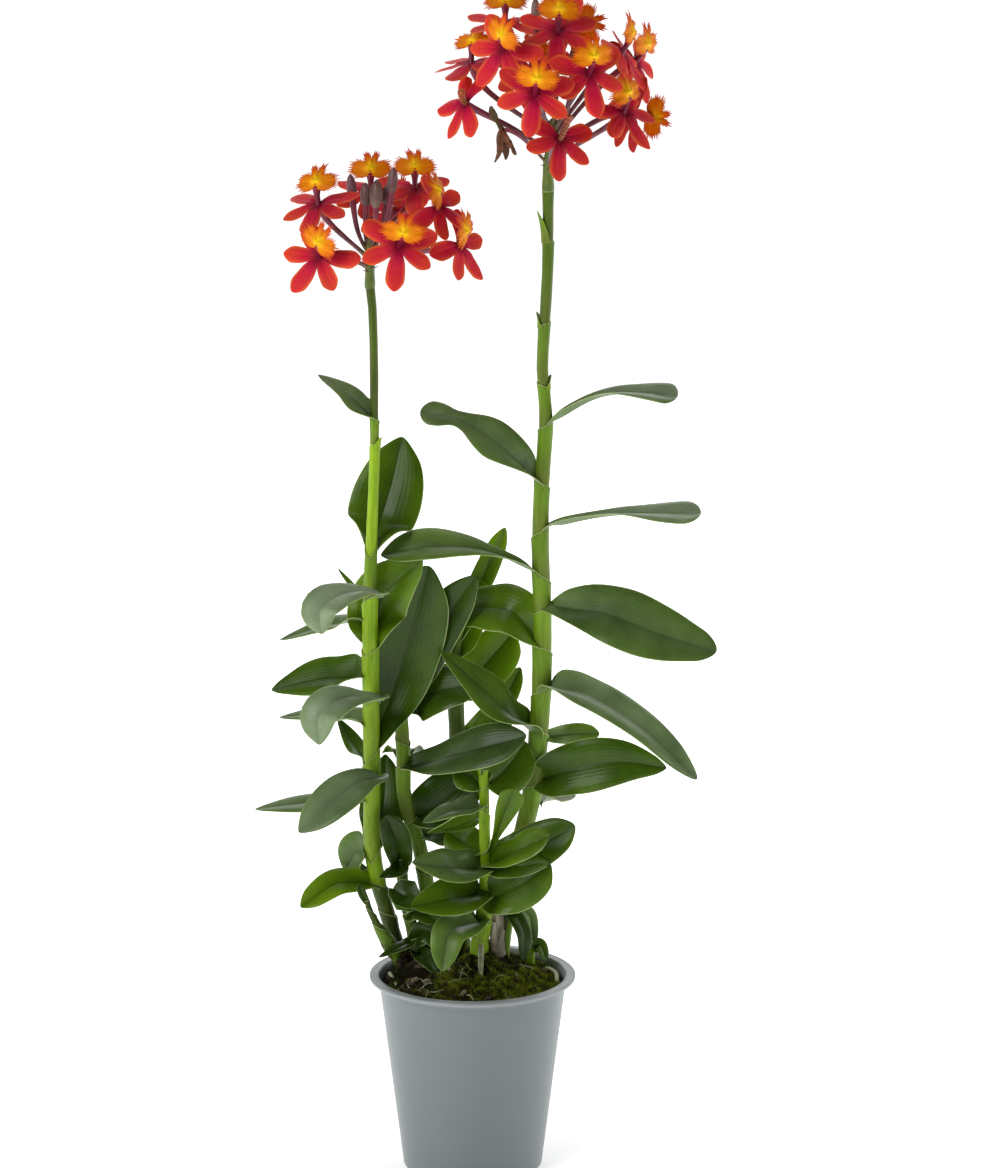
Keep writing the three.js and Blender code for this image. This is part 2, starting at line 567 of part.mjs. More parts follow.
function lipSolid(flower) {
  const frame = flowerFrame(flower.pose);
  const tilt = rad(LIP.tilt);
  const up = frame.up.clone().multiplyScalar(Math.cos(tilt)).addScaledVector(frame.forward, Math.sin(tilt));
  const out = frame.forward.clone().multiplyScalar(Math.cos(tilt))
    .addScaledVector(frame.up, -Math.sin(tilt));
  const origin = columnEnd(vec(flower.at), frame)
    .addScaledVector(out, LIP.seat).addScaledVector(up, LIP.rise);
  const left = LIP_HALF.slice(1, -1).reverse().map(([a, r]) => [180 - a, r]);
  const outline = [...LIP_HALF, ...left].map(([a, r]) => (
    origin.clone().addScaledVector(frame.right, r * Math.cos(rad(a)))
      .addScaledVector(up, r * Math.sin(rad(a)))));
  const n = outline.length;
  const front = outline.map((p) => p.clone().addScaledVector(out, LIP.thickness / 2));
  const back = outline.map((p) => p.clone().addScaledVector(out, -LIP.thickness / 2));
  const points = [...front, ...back];
  points.push(origin.clone().addScaledVector(out, LIP.callus));
  points.push(origin.clone().addScaledVector(out, -LIP.thickness / 2));
  const faces = [];
  for (let i = 0; i < n; i += 1) {
    const j = (i + 1) % n;
    faces.push([2 * n, j, i], [2 * n + 1, n + i, n + j], [i, j, n + j], [i, n + j, n + i]);
  }
  return solid(geometryFrom(points, faces));
}

// A withered flower hangs on the tall spray: its dried ovary and its shrivelled tepals.
const WITHERED = {
  hub: [17, -10, 607], radii: [1.36, 1.7, 0.5], middle: 0.55, bow: [0.8, -0.6, 0],
  ends: [[11, -10, 620], [13, -13, 589], [19, -8, 590], [25, -11, 593], [22, -14, 597]],
};

function witheredSolid() {
  const hub = vec(WITHERED.hub);
  return fuse(WITHERED.ends.map((end) => {
    const tip = vec(end);
    const middle = hub.clone().lerp(tip, WITHERED.middle).add(vec(WITHERED.bow));
    return solid(rod([hub, middle, tip], WITHERED.radii, 5));
  }));
}

// Flower heads: where each star's centre lies, its yaw, pitch and roll, whether it kept its lip,
// and the height on the spray's axis at which its pedicel leaves.  A bud's size is its radius
// and half its length.
const HEADS = {
  tall: {
    axis: [[43, 2, 572.3], [43, 2, 585], [45, 1, 600], [46, 1, 612]], radii: [3.4, 2.2],
    flowers: [
      { at: [19, 14, 664], pose: [0, 70, 0], lip: true, from: 606 },
      { at: [0, 7, 642], pose: [-40, 75, -10], lip: true, from: 600 },
      { at: [18, -17, 652], pose: [-25, 20, 30], lip: true, from: 604 },
      { at: [-3, -6, 621], pose: [-50, 30, 80], lip: false, from: 592 },
      { at: [35, -45, 630], pose: [0, 20, 10], lip: true, from: 600 },
      { at: [48, -10, 661], pose: [5, 50, 5], lip: true, from: 608 },
      { at: [54, 32, 660], pose: [150, 10, -90], lip: true, from: 608 },
      { at: [65, -30, 640], pose: [20, 25, -5], lip: true, from: 604 },
      { at: [84, 8, 648], pose: [75, 35, -5], lip: true, from: 604 },
      { at: [92, 31, 641], pose: [60, 25, 0], lip: true, from: 598 },
      { at: [85, -6, 616], pose: [40, 40, -15], lip: true, from: 592 },
      { at: [49, -26, 603], pose: [30, 30, 15], lip: false, from: 584 },
      { at: [90, 20, 613], pose: [120, -10, -90], lip: true, from: 590 },
      { at: [34, 32, 636], pose: [180, 20, 0], lip: true, from: 600 },
    ],
    stalks: [{ at: WITHERED.hub, arrive: [-0.9, -0.4, 0.1], from: 586 }],
    buds: [
      { at: [36, 2.5, 671], from: 604, size: [2.7, 8] },
      { at: [57, -4, 646], from: 600, size: [2.8, 7.5] },
    ],
  },
  short: {
    axis: [[-57, -8, 519.3], [-57, -8, 530], [-57, -8, 540], [-56, -8, 546]], radii: [2.9, 2.5],
    flowers: [
      { at: [-85, -19, 566], pose: [-30, 60, -10], lip: true, from: 534 },
      { at: [-84, -36, 539], pose: [-20, 25, 30], lip: true, from: 528 },
      { at: [-40, -42, 546], pose: [10, 15, 10], lip: true, from: 530 },
      { at: [-57, 20, 569], pose: [-5, 60, 0], lip: true, from: 542 },
      { at: [-32, 13, 571], pose: [5, 62, 0], lip: true, from: 542 },
      { at: [-19, -14, 564], pose: [40, 40, -50], lip: true, from: 536 },
      { at: [-7, -16, 543], pose: [50, 25, -35], lip: true, from: 530 },
      { at: [-44, 28, 556], pose: [170, 10, 0], lip: true, from: 538 },
    ],
    buds: [
      { at: [-67, -7, 574], from: 538, size: [2.9, 8] },
      { at: [-59, -6, 570], from: 540, size: [3.2, 7] },
      { at: [-53, -12, 571], from: 540, size: [3.8, 8.5] },
      { at: [-47, -6, 570], from: 540, size: [2.8, 7] },
      { at: [-44, -9, 578], from: 538, size: [3, 8] },
    ],
    stalks: [],
  },
};

// A bud's share of its radius at each share of its length.
const BUD_PROFILE = [[0, 0.35], [0.2, 0.8], [0.5, 1], [0.8, 0.72], [1, 0.12]];

function axisPoint(head, z) {
  const curve = new THREE.CatmullRomCurve3(head.axis.map(vec), false, 'centripetal');
  const points = curve.getPoints(60);
  return (points.find((p) => p.z >= z) ?? points[points.length - 1]).clone();
}

function pedicelSolid(start, end, arrive, radius) {
  const reach = start.distanceTo(end);
  const leave = end.clone().sub(start).setZ(0).normalize().multiplyScalar(0.7);
  leave.z = 0.7;
  const curve = new THREE.CubicBezierCurve3(
    start, start.clone().addScaledVector(leave, 0.35 * reach),
    end.clone().addScaledVector(arrive, -0.3 * reach), end);
  const stations = curve.getPoints(3);
  return solid(rod(stations, [1, 1, 1.1, 1.25].map((k) => k * radius), PEDICEL.sides));
}

function spraySolid(head) {
  const stations = head.axis.map(vec);
  const radii = stations.map((_, k) => mix(head.radii[0], head.radii[1], k / (stations.length - 1)));
  const pieces = [solid(rod(stations, radii, 8))];
  head.flowers.forEach((flower) => {
    const { forward } = flowerFrame(flower.pose);
    const end = vec(flower.at).addScaledVector(forward, -BLOOM.back - PEDICEL.gap);
    pieces.push(pedicelSolid(axisPoint(head, flower.from), end, forward, PEDICEL.radius));
  });
  head.stalks.forEach((stalk) => {
    const arrive = vec(stalk.arrive).normalize();
    const end = vec(stalk.at).addScaledVector(arrive, -WITHERED.radii[1] - PEDICEL.gap);
    pieces.push(pedicelSolid(axisPoint(head, stalk.from), end, arrive, PEDICEL.witheredRadius));
  });
  head.buds.forEach((bud) => {
    const centre = vec(bud.at);
    const start = axisPoint(head, bud.from);
    const along = centre.clone().sub(start).setZ(0).multiplyScalar(0.35);
    along.z = centre.distanceTo(start);
    along.normalize();
    const foot = centre.clone().addScaledVector(along, -bud.size[1]);
    pieces.push(pedicelSolid(start, foot.clone().addScaledVector(along, 2), along, PEDICEL.budRadius));
    const line = BUD_PROFILE.map(([t]) => foot.clone().addScaledVector(along, 2 * bud.size[1] * t));
    pieces.push(solid(rod(line, BUD_PROFILE.map(([, share]) => share * bud.size[0]), 5)));
  });
  return fuse(pieces);
}

// ---------------------------------------------------------------- assembly
const part = new THREE.Group();

function addMesh(name, manifold, color, roughness = 0.5) {
  const material = new THREE.MeshStandardMaterial({ color, roughness, metalness: 0 });
  const mesh = new THREE.Mesh(geometryOf(manifold), material);
  mesh.name = name;
  part.add(mesh);
}

const number = (i) => String(i + 1).padStart(2, '0');
const holes = [
  ...Object.values(STEMS).map(({ points, radii }) => holeFor(
    points.filter((_, k) => k === 0 || points[k - 1][2] < HOLE_TOP), radii[0][1])),
  ...Object.values(RODS).map((root) => holeFor(root.points, Math.max(...root.radii))),
];

addMesh('pot', potSolid(), COLORS.pot, 0.4);
addMesh('potting_mix', mixSolid(holes), COLORS.mix, 0.95);
Object.entries(STEMS).forEach(([name, stem]) => addMesh(name, stemSolid(stem), COLORS.leaf, 0.4));
Object.entries(RODS).forEach(([name, { points, radii }]) => {
  const stations = points.map(vec);
  const along = stations.map((_, k) => mix(radii[0], radii[1], k / (stations.length - 1)));
  addMesh(name, solid(rod(stations, along, 7)), name === 'old_stub' ? COLORS.stub : COLORS.root, 0.7);
});
Object.entries(HEADS).forEach(([headName, head]) => {
  addMesh(`${headName}_spray`, spraySolid(head), COLORS.spray, 0.5);
  head.flowers.forEach((flower, i) => {
    addMesh(`${headName}_bloom_${number(i)}`, bloomSolid(flower), COLORS.tepal, 0.45);
    if (flower.lip) addMesh(`${headName}_lip_${number(i)}`, lipSolid(flower), COLORS.lip, 0.45);
  });
});

addMesh('withered_bloom', witheredSolid(), COLORS.withered, 0.8);

export default part;
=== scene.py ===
"""Potted reed-stem epidendrum orchid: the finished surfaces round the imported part.

The tables are in millimetres, and MM turns them into metres where a mesh is made.
+Z is up, -Y is the front, and the origin is the centre of the pot's base.
"""
import math

import bpy
import numpy as np
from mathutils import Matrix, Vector


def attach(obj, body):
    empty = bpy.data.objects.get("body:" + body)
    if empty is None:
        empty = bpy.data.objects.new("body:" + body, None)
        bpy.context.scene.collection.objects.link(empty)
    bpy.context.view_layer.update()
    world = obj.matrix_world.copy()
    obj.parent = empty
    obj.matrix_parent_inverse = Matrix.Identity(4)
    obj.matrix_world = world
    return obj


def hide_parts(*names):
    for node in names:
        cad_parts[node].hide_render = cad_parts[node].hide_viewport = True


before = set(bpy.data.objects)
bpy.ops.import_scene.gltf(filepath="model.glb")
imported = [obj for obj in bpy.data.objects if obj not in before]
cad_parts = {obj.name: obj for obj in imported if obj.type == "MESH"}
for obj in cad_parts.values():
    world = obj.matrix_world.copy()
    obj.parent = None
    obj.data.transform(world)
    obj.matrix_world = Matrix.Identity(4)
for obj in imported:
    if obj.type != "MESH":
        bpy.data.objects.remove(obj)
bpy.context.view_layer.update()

MM = 0.001
UP = np.array([0.0, 0.0, 1.0])
LEVEL = np.array([1.0, 1.0, 0.0])

# ---------------------------------------------------------------- driving dimensions
POT = dict(height=115, base=40.5, rim=55, flange=60, flange_thickness=2.6, wall=1.4, floor=2,
           lip_width=0.6, lip_depth=3, corner=1.1, segments=180, notches=(17, 77, 137, 197, 257, 317),
           notch_height=7.5, notch_width=13, notch_below=3, notch_reach=4.5)
MIX = dict(edge_top=107.5, mound=15, bump=1.4, wall_gap=0.65, floor_gap=0.3, sides=120, rings=52)
# Litter heaped round the feet of the stems: place, height and reach.
HEAPS = ((6, 2, 7, 13), (-37, 6, 15, 12))
FOOT_DEPTH = 90
SHEATH = dict(mouth=0.45, neck=0.3, wall=0.3, dip=6, last_dip=0.6, leaf_within=6, sides=30)
LEAF = dict(thickness=0.75, rib=0.35, seat=3.5, clasp=75, clasp_end=0.15)
BLOOM = dict(thickness=0.55, bow=1.6, back=1.0, column_forward=9.4, column_up=4.8, seed=1000)
LIP = dict(tilt=30, thickness=0.4, seat=1.5, rise=1.5, sides=360, seed=3000)
HEAD_SEED = 50
PEDICEL = dict(radius=1.4, bud_radius=1.3, withered_radius=1.0)

# Stems by height: points of the middle line, radii, the joints where sheaths end, how far a mouth dips on
# the side away from its leaf, and tones of green from dark (-), partly older green and partly painted shade,
# to light (+), partly fresher green and partly painted sunlight: tones for the stem by height, leaf_tone for
# its leaves, and leaf_tones for single leaves, found by their height.  A leaf's share of painted sheen says
# how much pale painted highlight it gets.  A bract has a height, an angle in degrees and a length.
STEMS = {
    "tall_cane": dict(
        points=[(16, 16, FOOT_DEPTH), (16, 16, 123), (22, 14, 167), (29, 12, 195), (35, 10, 222),
                (38, 9, 252), (40, 7, 288), (40, 6, 336), (39, 5, 371), (40, 4, 406), (42, 3, 441),
                (40, 3, 470), (41, 2, 493), (42, 2, 510), (43, 2, 532), (43, 2, 555), (43, 2, 572)],
        radii=((118, 5.7), (300, 5.7), (344, 5.3), (400, 4.5), (432, 4.2), (458, 3.4), (572, 3)),
        dips=((146, 6), (228, 5), (261, 8), (312, 9), (354, 10), (407, 7), (463, 4)),
        leaf_tones={146: -0.5, 257: 0.5, 354: 0.2, 313: 0.15, 230: -0.15},
        painted_sheen={335: 0.15, 286: 0.42, 381: 0.45, 441: 0.45, 407: 0.25, 354: 0.15, 259: 0.05},
        tones=((120, 0.1), (300, 0), (463, 0), (498, -0.15), (546, -0.3), (572, -0.5)),
        joints=[146, 176, 200, 228, 261, 285, 312, 334, 354, 380, 407, 440, 463, 498, 546],
        bracts=[(546, 200, 19), (498, 160, 9), (463, 20, 8)],
    ),
    "short_cane": dict(
        points=[(-42, 15, FOOT_DEPTH), (-43, 15, 123), (-46, 15, 131), (-49, 15, 144), (-54, 10, 163),
                (-58, 5, 188), (-58, 0, 219), (-58, -4, 256), (-58, -7, 292), (-58, -10, 339),
                (-57, -10, 374), (-55, -10, 420), (-55, -9, 454), (-55, -9, 483), (-56, -8, 511),
                (-57, -8, 519)],
        radii=((118, 4.6), (200, 4.9), (300, 4.9), (334, 4.5), (362, 3.5), (432, 2.6), (519, 2.2)),
        dips=((150, 6), (168, 5), (198, 18), (256, 15), (315, 8), (376, 12), (446, 4)),
        tones=((150, -0.9), (168, -0.6), (198, 0.4), (256, 0.5), (315, 0.35), (343, 0.85), (376, 0.15),
               (430, 0.8), (446, 0), (519, -0.4)),
        leaf_tones={255: -0.3, 315: 0.2, 168: 0.8},
        painted_sheen={343: 0.8, 281: 0.75, 234: 0.45, 447: 0.3, 331: 0.25, 268: 0.35, 222: 0.35, 191: 0.2},
        joints=[150, 168, 198, 256, 315, 343, 376, 430, 446],
        bracts=[(430, 330, 8)],
    ),
    "mid_cane": dict(
        points=[(-23, 12, FOOT_DEPTH), (-23, 12, 125), (-24, 12, 140), (-27, 13, 164), (-31, 14, 188),
                (-37, 14, 206), (-40, 14, 221), (-40, 14, 239), (-41, 15, 260), (-43, 16, 276)],
        radii=((118, 4.8), (276, 4)), tones=[(0, -0.1)], leaf_tone=-0.35, painted_sheen={238: 0.08},
        joints=[150, 176, 206, 238, 254, 270],
    ),
    "back_cane": dict(
        points=[(-6, 26, FOOT_DEPTH), (-6, 26, 118), (-8, 30, 150), (-9, 33, 198), (-9, 34, 246),
                (-10, 34, 276), (-10, 34, 306), (-6, 34, 324)],
        radii=((118, 5), (324, 4.6)), tones=[(0, -0.3)], leaf_tone=1,
        joints=[140, 170, 205, 241, 275, 300],
    ),
    "front_cane": dict(
        points=[(4, 0, FOOT_DEPTH), (4, 0, 131), (6, -1, 144), (7, -3, 163), (8, -5, 180), (7, -7, 203),
                (7, -8, 221), (6, -8, 240)],
        radii=((118, 5.6), (150, 4.8), (165, 3.8), (240, 2.6)), tones=[(0, 0.45)], leaf_tone=0.1,
        leaf_tones={150: 0.25, 191: 0.3}, painted_sheen={182: 0.2, 150: 0.15, 219: 0.3},
        joints=[138, 150, 165, 184, 192, 216, 232],
    ),
    "side_shoot": dict(
        points=[(-33, 4, FOOT_DEPTH), (-33, 4, 124), (-35, 5, 139), (-39, 4, 158), (-42, 3, 184)],
        radii=((118, 4), (184, 3)), tones=[(0, -0.5)], leaf_tone=-0.45,
        joints=[136, 152, 161, 179],
    ),
    "right_shoot": dict(
        points=[(34, 12, FOOT_DEPTH + 8), (34, 12, 118), (34, 12, 124), (34, 12, 132)],
        radii=((118, 2.2), (132, 1.8)), tones=[(0, 0.2)],
        joints=[124, 128],
    ),
    "left_shoot": dict(
        points=[(-41, 5, FOOT_DEPTH + 8), (-42, 3, 120), (-46.5, 0, 128), (-50, -2, 136), (-54, -4, 143.5),
                (-58.5, -5, 152), (-61.5, -5, 161)],
        radii=((118, 3), (128, 4.6), (134, 5.2), (140, 4), (146, 2.4), (161, 1.3)),
        tones=[(0, -0.5)], leaf_tone=-0.2,
        joints=[147, 157],
    ),
}

# Leaves: height of the node, middle points, tip, width, outline, the way the face looks, and the way it
# looks at the tip if that differs.
LEAVES = {
    "tall_cane": [
        (441, [(71, -2, 455), (95, -8, 459)], (116, -12, 457), 26, "spoon", (0, 0, 1), (0.1, -0.35, 0.93)),
        (407, [(16, -8, 429), (-5, -6, 442)], (-29, -2, 447), 26, "waist", (0, -0.6, 0.8), (0, -0.8, 0.6)),
        (381, [(73, 0, 386), (101, -4, 389)], (130, -8, 389), 26, "spoon", (0, 0, 1), (0.1, -0.35, 0.93)),
        (354, [(17, -5, 364), (-2, -4, 369), (-28, -2, 369)], (-52, 1, 363), 26, "hook", (0, -0.3, 1),
         (0, -0.6, 0.8)),
        (335, [(73, -8, 332), (104, -16, 322)], (139, -22, 312), 36, "blade", (0.1, -0.85, 0.5)),
        (313, [(23, 2, 330), (5, 14, 330)], (-19, 28, 324), 32, "broad", (0, -0.8, 0.6)),
        (286, [(62, -10, 286), (96, -24, 269)], (128, -34, 240), 28, "oval", (0.1, -0.4, 0.9),
         (0.3, -0.45, 0.85)),
        (259, [(19, -4, 274), (2, -2, 290)], (-18, 4, 306), 24, "lance", (-0.2, -0.45, 0.85)),
        (257, [(60, 26, 252)], (74, 34, 250), 12, "oval", (0, -0.9, 0.3)),
        (230, [(59, 2, 237), (86, -2, 242)], (112, 0, 238), 31, "lance", (0, -0.95, 0.3)),
        (216, [(47, 40, 210)], (57, 62, 207), 20, "oval", (0, -0.2, 1)),
        (146, [(24, 4, 149), (30, 1, 138)], (29.5, 0, 122), 10, "oval", (0.4, -0.85, 0.3)),
    ],
    "short_cane": [
        (447, [(-63, -10, 452), (-71, -6, 459)], (-87, 2, 467), 15, "lance", (0.2, -0.6, 0.75)),
        (371, [(-53, 9, 380), (-46, 18, 402)], (-40, 26, 427), 40, "egg", (0, -0.95, 0.3)),
        (343, [(-50, -19, 344), (-60, -30, 349), (-74, -40, 349), (-85, -46, 342)], (-84, -49, 328), 24,
         "hook", (0, -0.1, 1), (-0.35, -0.8, 0.45)),
        (331, [(-82, 8, 321)], (-111, 16, 310), 17, "lance", (0, -0.35, 0.93)),
        (322, [(-66, 4, 340)], (-77, 8, 354), 4, "lance", (0, -0.9, 0.3)),
        (315, [(-52, -2, 338)], (-28, -12, 363), 35, "acute", (-0.2, -0.95, 0.25)),
        (298, [(-88, 6, 290)], (-116, 14, 281), 27, "lance", (0, -0.65, 0.76)),
        (281, [(-50, -19, 284), (-60, -30, 288), (-74, -40, 289), (-86, -46, 281)], (-86, -49, 264), 25,
         "hook", (0, -0.15, 1), (-0.35, -0.8, 0.45)),
        (268, [(-82, 10, 268)], (-112, 20, 263), 19, "lance", (0, -0.3, 0.95)),
        (255, [(-44, 8, 286)], (-25, 5, 356), 40, "paddle", (0.15, -0.95, 0.3)),
        (242, [(-68, 10, 249)], (-78, 18, 263), 15, "lance", (0.5, -0.5, 0.5)),
        (234, [(-52, -18, 237), (-62, -26, 238), (-77, -36, 230)], (-98, -46, 212), 27, "hook",
         (0, -0.4, 0.9), (-0.25, -0.75, 0.6)),
        (222, [(-94, 14, 214)], (-127, 24, 207), 20, "lance", (0, -0.35, 0.93)),
        (193, [(-52, 24, 210)], (-51, 36, 237), 27, "acute", (0, -0.95, 0.3)),
        (191, [(-68, 12, 184)], (-74, 14, 172), 24, "lance", (-0.2, -0.9, 0.3)),
        (168, [(-78, -2, 170)], (-99, -12, 158), 19, "oval", (0, -0.6, 0.8)),
    ],
    "mid_cane": [
        (206, [(-16, 16, 216)], (7, 18, 233), 30, "oval", (0, -0.9, 0.4)),
        (238, [(-24, 0, 242), (2, -14, 253)], (31, -20, 262), 28, "paddle", (0, -0.7, 0.7)),
        (244, [(-40, 34, 239)], (-41, 52, 236), 26, "oval", (0, 0.1, 1)),
        (271, [(-34, 18, 273), (-16, 12, 282)], (6, 8, 285), 30, "oval", (0, -0.75, 0.65)),
        (275, [(-27, 17, 305)], (2, 4, 350), 28, "oval", (0, -0.9, 0.4)),
        (196, [(-19, 22, 194)], (-12, 26, 194), 20, "oval", (0, -0.7, 0.6)),
        (146, [(-17, 4, 152)], (-9, 0, 140), 19, "oval", (0, -0.9, 0.4)),
    ],
    "back_cane": [
        (310, [(6, 40, 342)], (19, 46, 370), 14, "oval", (0.2, -0.95, 0.1)),
        (275, [(10, 44, 292)], (24, 52, 307), 30, "oval", (0.2, -0.95, 0.2)),
        (249, [(16, 48, 264)], (28, 58, 284), 14, "oval", (0.2, -0.9, 0.2)),
        (275, [(-20, 42, 277)], (-38, 46, 261), 26, "oval", (-0.2, -0.9, 0.3)),
        (300, [(-2, 36, 324)], (5, 38, 341), 24, "oval", (0.2, -0.9, 0.2)),
        (241, [(7, 32, 252)], (22, 27, 268), 18, "paddle", (0.2, -0.9, 0.2)),
    ],
    "front_cane": [
        (232, [(19, -4, 238)], (31, 2, 253), 30, "oval", (0.2, -0.9, 0.3)),
        (230, [(-1, -4, 235)], (-10, 0, 238), 22, "oval", (0, -0.8, 0.5)),
        (219, [(-10, -22, 219)], (-28, -32, 214), 18, "lance", (0, -0.25, 0.97)),
        (216, [(-8, 2, 204)], (-26, 4, 198), 18, "lance", (0, 0.6, 0.8)),
        (191, [(16, -22, 210)], (24, -26, 232), 15, "spoon", (0.4, -0.85, 0.3)),
        (191, [(-5, 10, 191)], (-15, 14, 197), 22, "oval", (0, -0.85, 0.5)),
        (184, [(27, -30, 198)], (44, -38, 208), 20, "oval", (0, -0.7, 0.7)),
        (183, [(33, -14, 193)], (59, -16, 208), 27, "oval", (0.1, -0.85, 0.5)),
        (182, [(-13, -28, 187)], (-34, -38, 192), 25, "lance", (0, -0.65, 0.75)),
        (168, [(-13, -28, 168)], (-35, -38, 166), 26, "lance", (0, -0.75, 0.66)),
        (162, [(28, -16, 173)], (45, -22, 187), 30, "oval", (0.1, -0.85, 0.5)),
        (150, [(-3, -18, 150), (-13, -34, 149)], (-17, -43, 129), 21, "oval", (0, -0.5, 0.87),
         (-0.1, -0.95, 0.3)),
    ],
    "side_shoot": [
        (181, [(-44, -6, 197)], (-50, -9, 212), 17, "oval", (0.2, -0.95, 0.2)),
        (182, [(-44, -14, 180)], (-53, -24, 179), 12, "lance", (0, -0.4, 0.9)),
        (161, [(-39, -12, 165)], (-44, -20, 162), 20, "oval", (-0.2, -0.9, 0.3)),
        (152, [(-30, -7, 155)], (-20, -11, 149), 14, "oval", (0.1, -0.8, 0.5)),
        (136, [(-26, -6, 142)], (-17, -12, 134), 14, "oval", (0.1, -0.85, 0.4)),
        (130, [(-27, -8, 126)], (-21, -16, 119), 11, "lance", (0.1, -0.7, 0.6)),
        (136, [(-41, -9, 134)], (-54, -19, 130), 9, "lance", (0, -0.35, 0.93)),
    ],
    "right_shoot": [
        (131, [(33.5, 9, 146)], (25, 4, 155), 9, "oval", (0.5, -0.8, 0.2)),
        (128, [(39, 10, 129)], (43, 8, 120), 8, "oval", (0.4, -0.8, 0.4)),
    ],
    "left_shoot": [
        (160, [(-64, -6, 165)], (-65.5, -6, 170), 5, "oval", (0.3, -0.9, 0.3)),
    ],
}

# Where the rounding of the tip starts, then half width along the blade as (share of the length, share of
# the half width).
LEAF_OUTLINES = {
    "oval": (0.82, ((0, 0.5), (0.1, 0.64), (0.25, 0.87), (0.5, 1), (0.75, 0.88), (0.9, 0.66), (1, 0.45))),
    "lance": (0.91, ((0, 0.55), (0.1, 0.7), (0.25, 0.9), (0.45, 1), (0.65, 0.84), (0.85, 0.48), (1, 0.15))),
    "acute": (0.91, ((0, 0.4), (0.1, 0.58), (0.25, 0.86), (0.45, 1), (0.7, 0.82), (0.88, 0.46), (1, 0.15))),
    "waist": (0.91, ((0, 0.3), (0.08, 0.42), (0.2, 0.76), (0.36, 1), (0.52, 0.8), (0.64, 0.5), (0.73, 0.4),
                     (0.84, 0.58), (0.92, 0.6), (1, 0.5))),
    "egg": (0.82, ((0, 0.12), (0.06, 0.32), (0.13, 0.54), (0.24, 0.82), (0.45, 1), (0.62, 0.97), (0.78, 0.8),
                   (0.9, 0.55), (1, 0.3))),
    "blade": (0.91, ((0, 0.16), (0.06, 0.25), (0.16, 0.54), (0.28, 0.82), (0.43, 1), (0.6, 1), (0.74, 0.86),
                     (0.88, 0.6), (1, 0.35))),
    "paddle": (0.82, ((0, 0.3), (0.15, 0.42), (0.35, 0.72), (0.6, 0.97), (0.75, 1), (0.88, 0.84), (1, 0.5))),
    "hook": (0.91, ((0, 0.25), (0.2, 0.3), (0.35, 0.42), (0.52, 0.75), (0.7, 1), (0.86, 0.85), (1, 0.3))),
    "broad": (0.82, ((0, 0.34), (0.08, 0.5), (0.2, 0.8), (0.45, 1), (0.7, 0.8), (0.83, 0.74), (1, 0.55))),
    "spoon": (0.91, ((0, 0.32), (0.15, 0.28), (0.35, 0.34), (0.55, 0.64), (0.76, 0.96), (0.9, 1), (1, 0.8))),
}

ROOTS = {
    "root_front": ([(4.5, -24, 100), (4.5, -23.5, 114), (4.8, -19, 124), (5, -12, 131), (5, -5, 133)], 1.6),
    "root_left": ([(-47, 4, 100), (-48, 4.5, 112), (-48, 1, 114), (-45.5, -7, 112), (-43.6, -13, 110),
                   (-43, -14, 100)], 1.3),
    "root_right": ([(40, 10, 100), (40.5, 9.6, 112), (44, 8, 115), (48.4, 4, 113.5), (49, -4, 110),
                    (48.6, -5, 100)], 1.2),
}
# The stub's loose strips have an angle and a length.
STUB = dict(points=[(15.5, 2.5, FOOT_DEPTH), (15, 2.5, 122), (14, 3, 136), (15, 4, 152)], radii=(5, 3.2),
            strips=((-1.9, 26), (-0.9, 20), (0.4, 24), (-2.7, 15)))
# Chips of bark that show: place, size, turn and paleness.
CHIPS = (
    ((-12, -47.5), (11, 4, 2.4), 0.25, 0.9), ((-5, -38), (6, 3, 2), 1.2, 0.5),
    ((-33, -17), (5, 3, 3), 0.5, 0.55), ((-26, -20), (6, 4, 3.4), -0.3, 0.6),
    ((-20, -15), (4, 2.6, 2.6), 0.9, 0.5), ((-14, -12), (5, 2.2, 3), 2.1, 0.8),
    ((-43, -22), (3.4, 2, 2), 0.2, 0.7), ((-30, -30), (3, 2, 1.6), 1.5, 0.35),
    ((22, -38), (4, 2.4, 1.6), 0.4, 0.3),
)

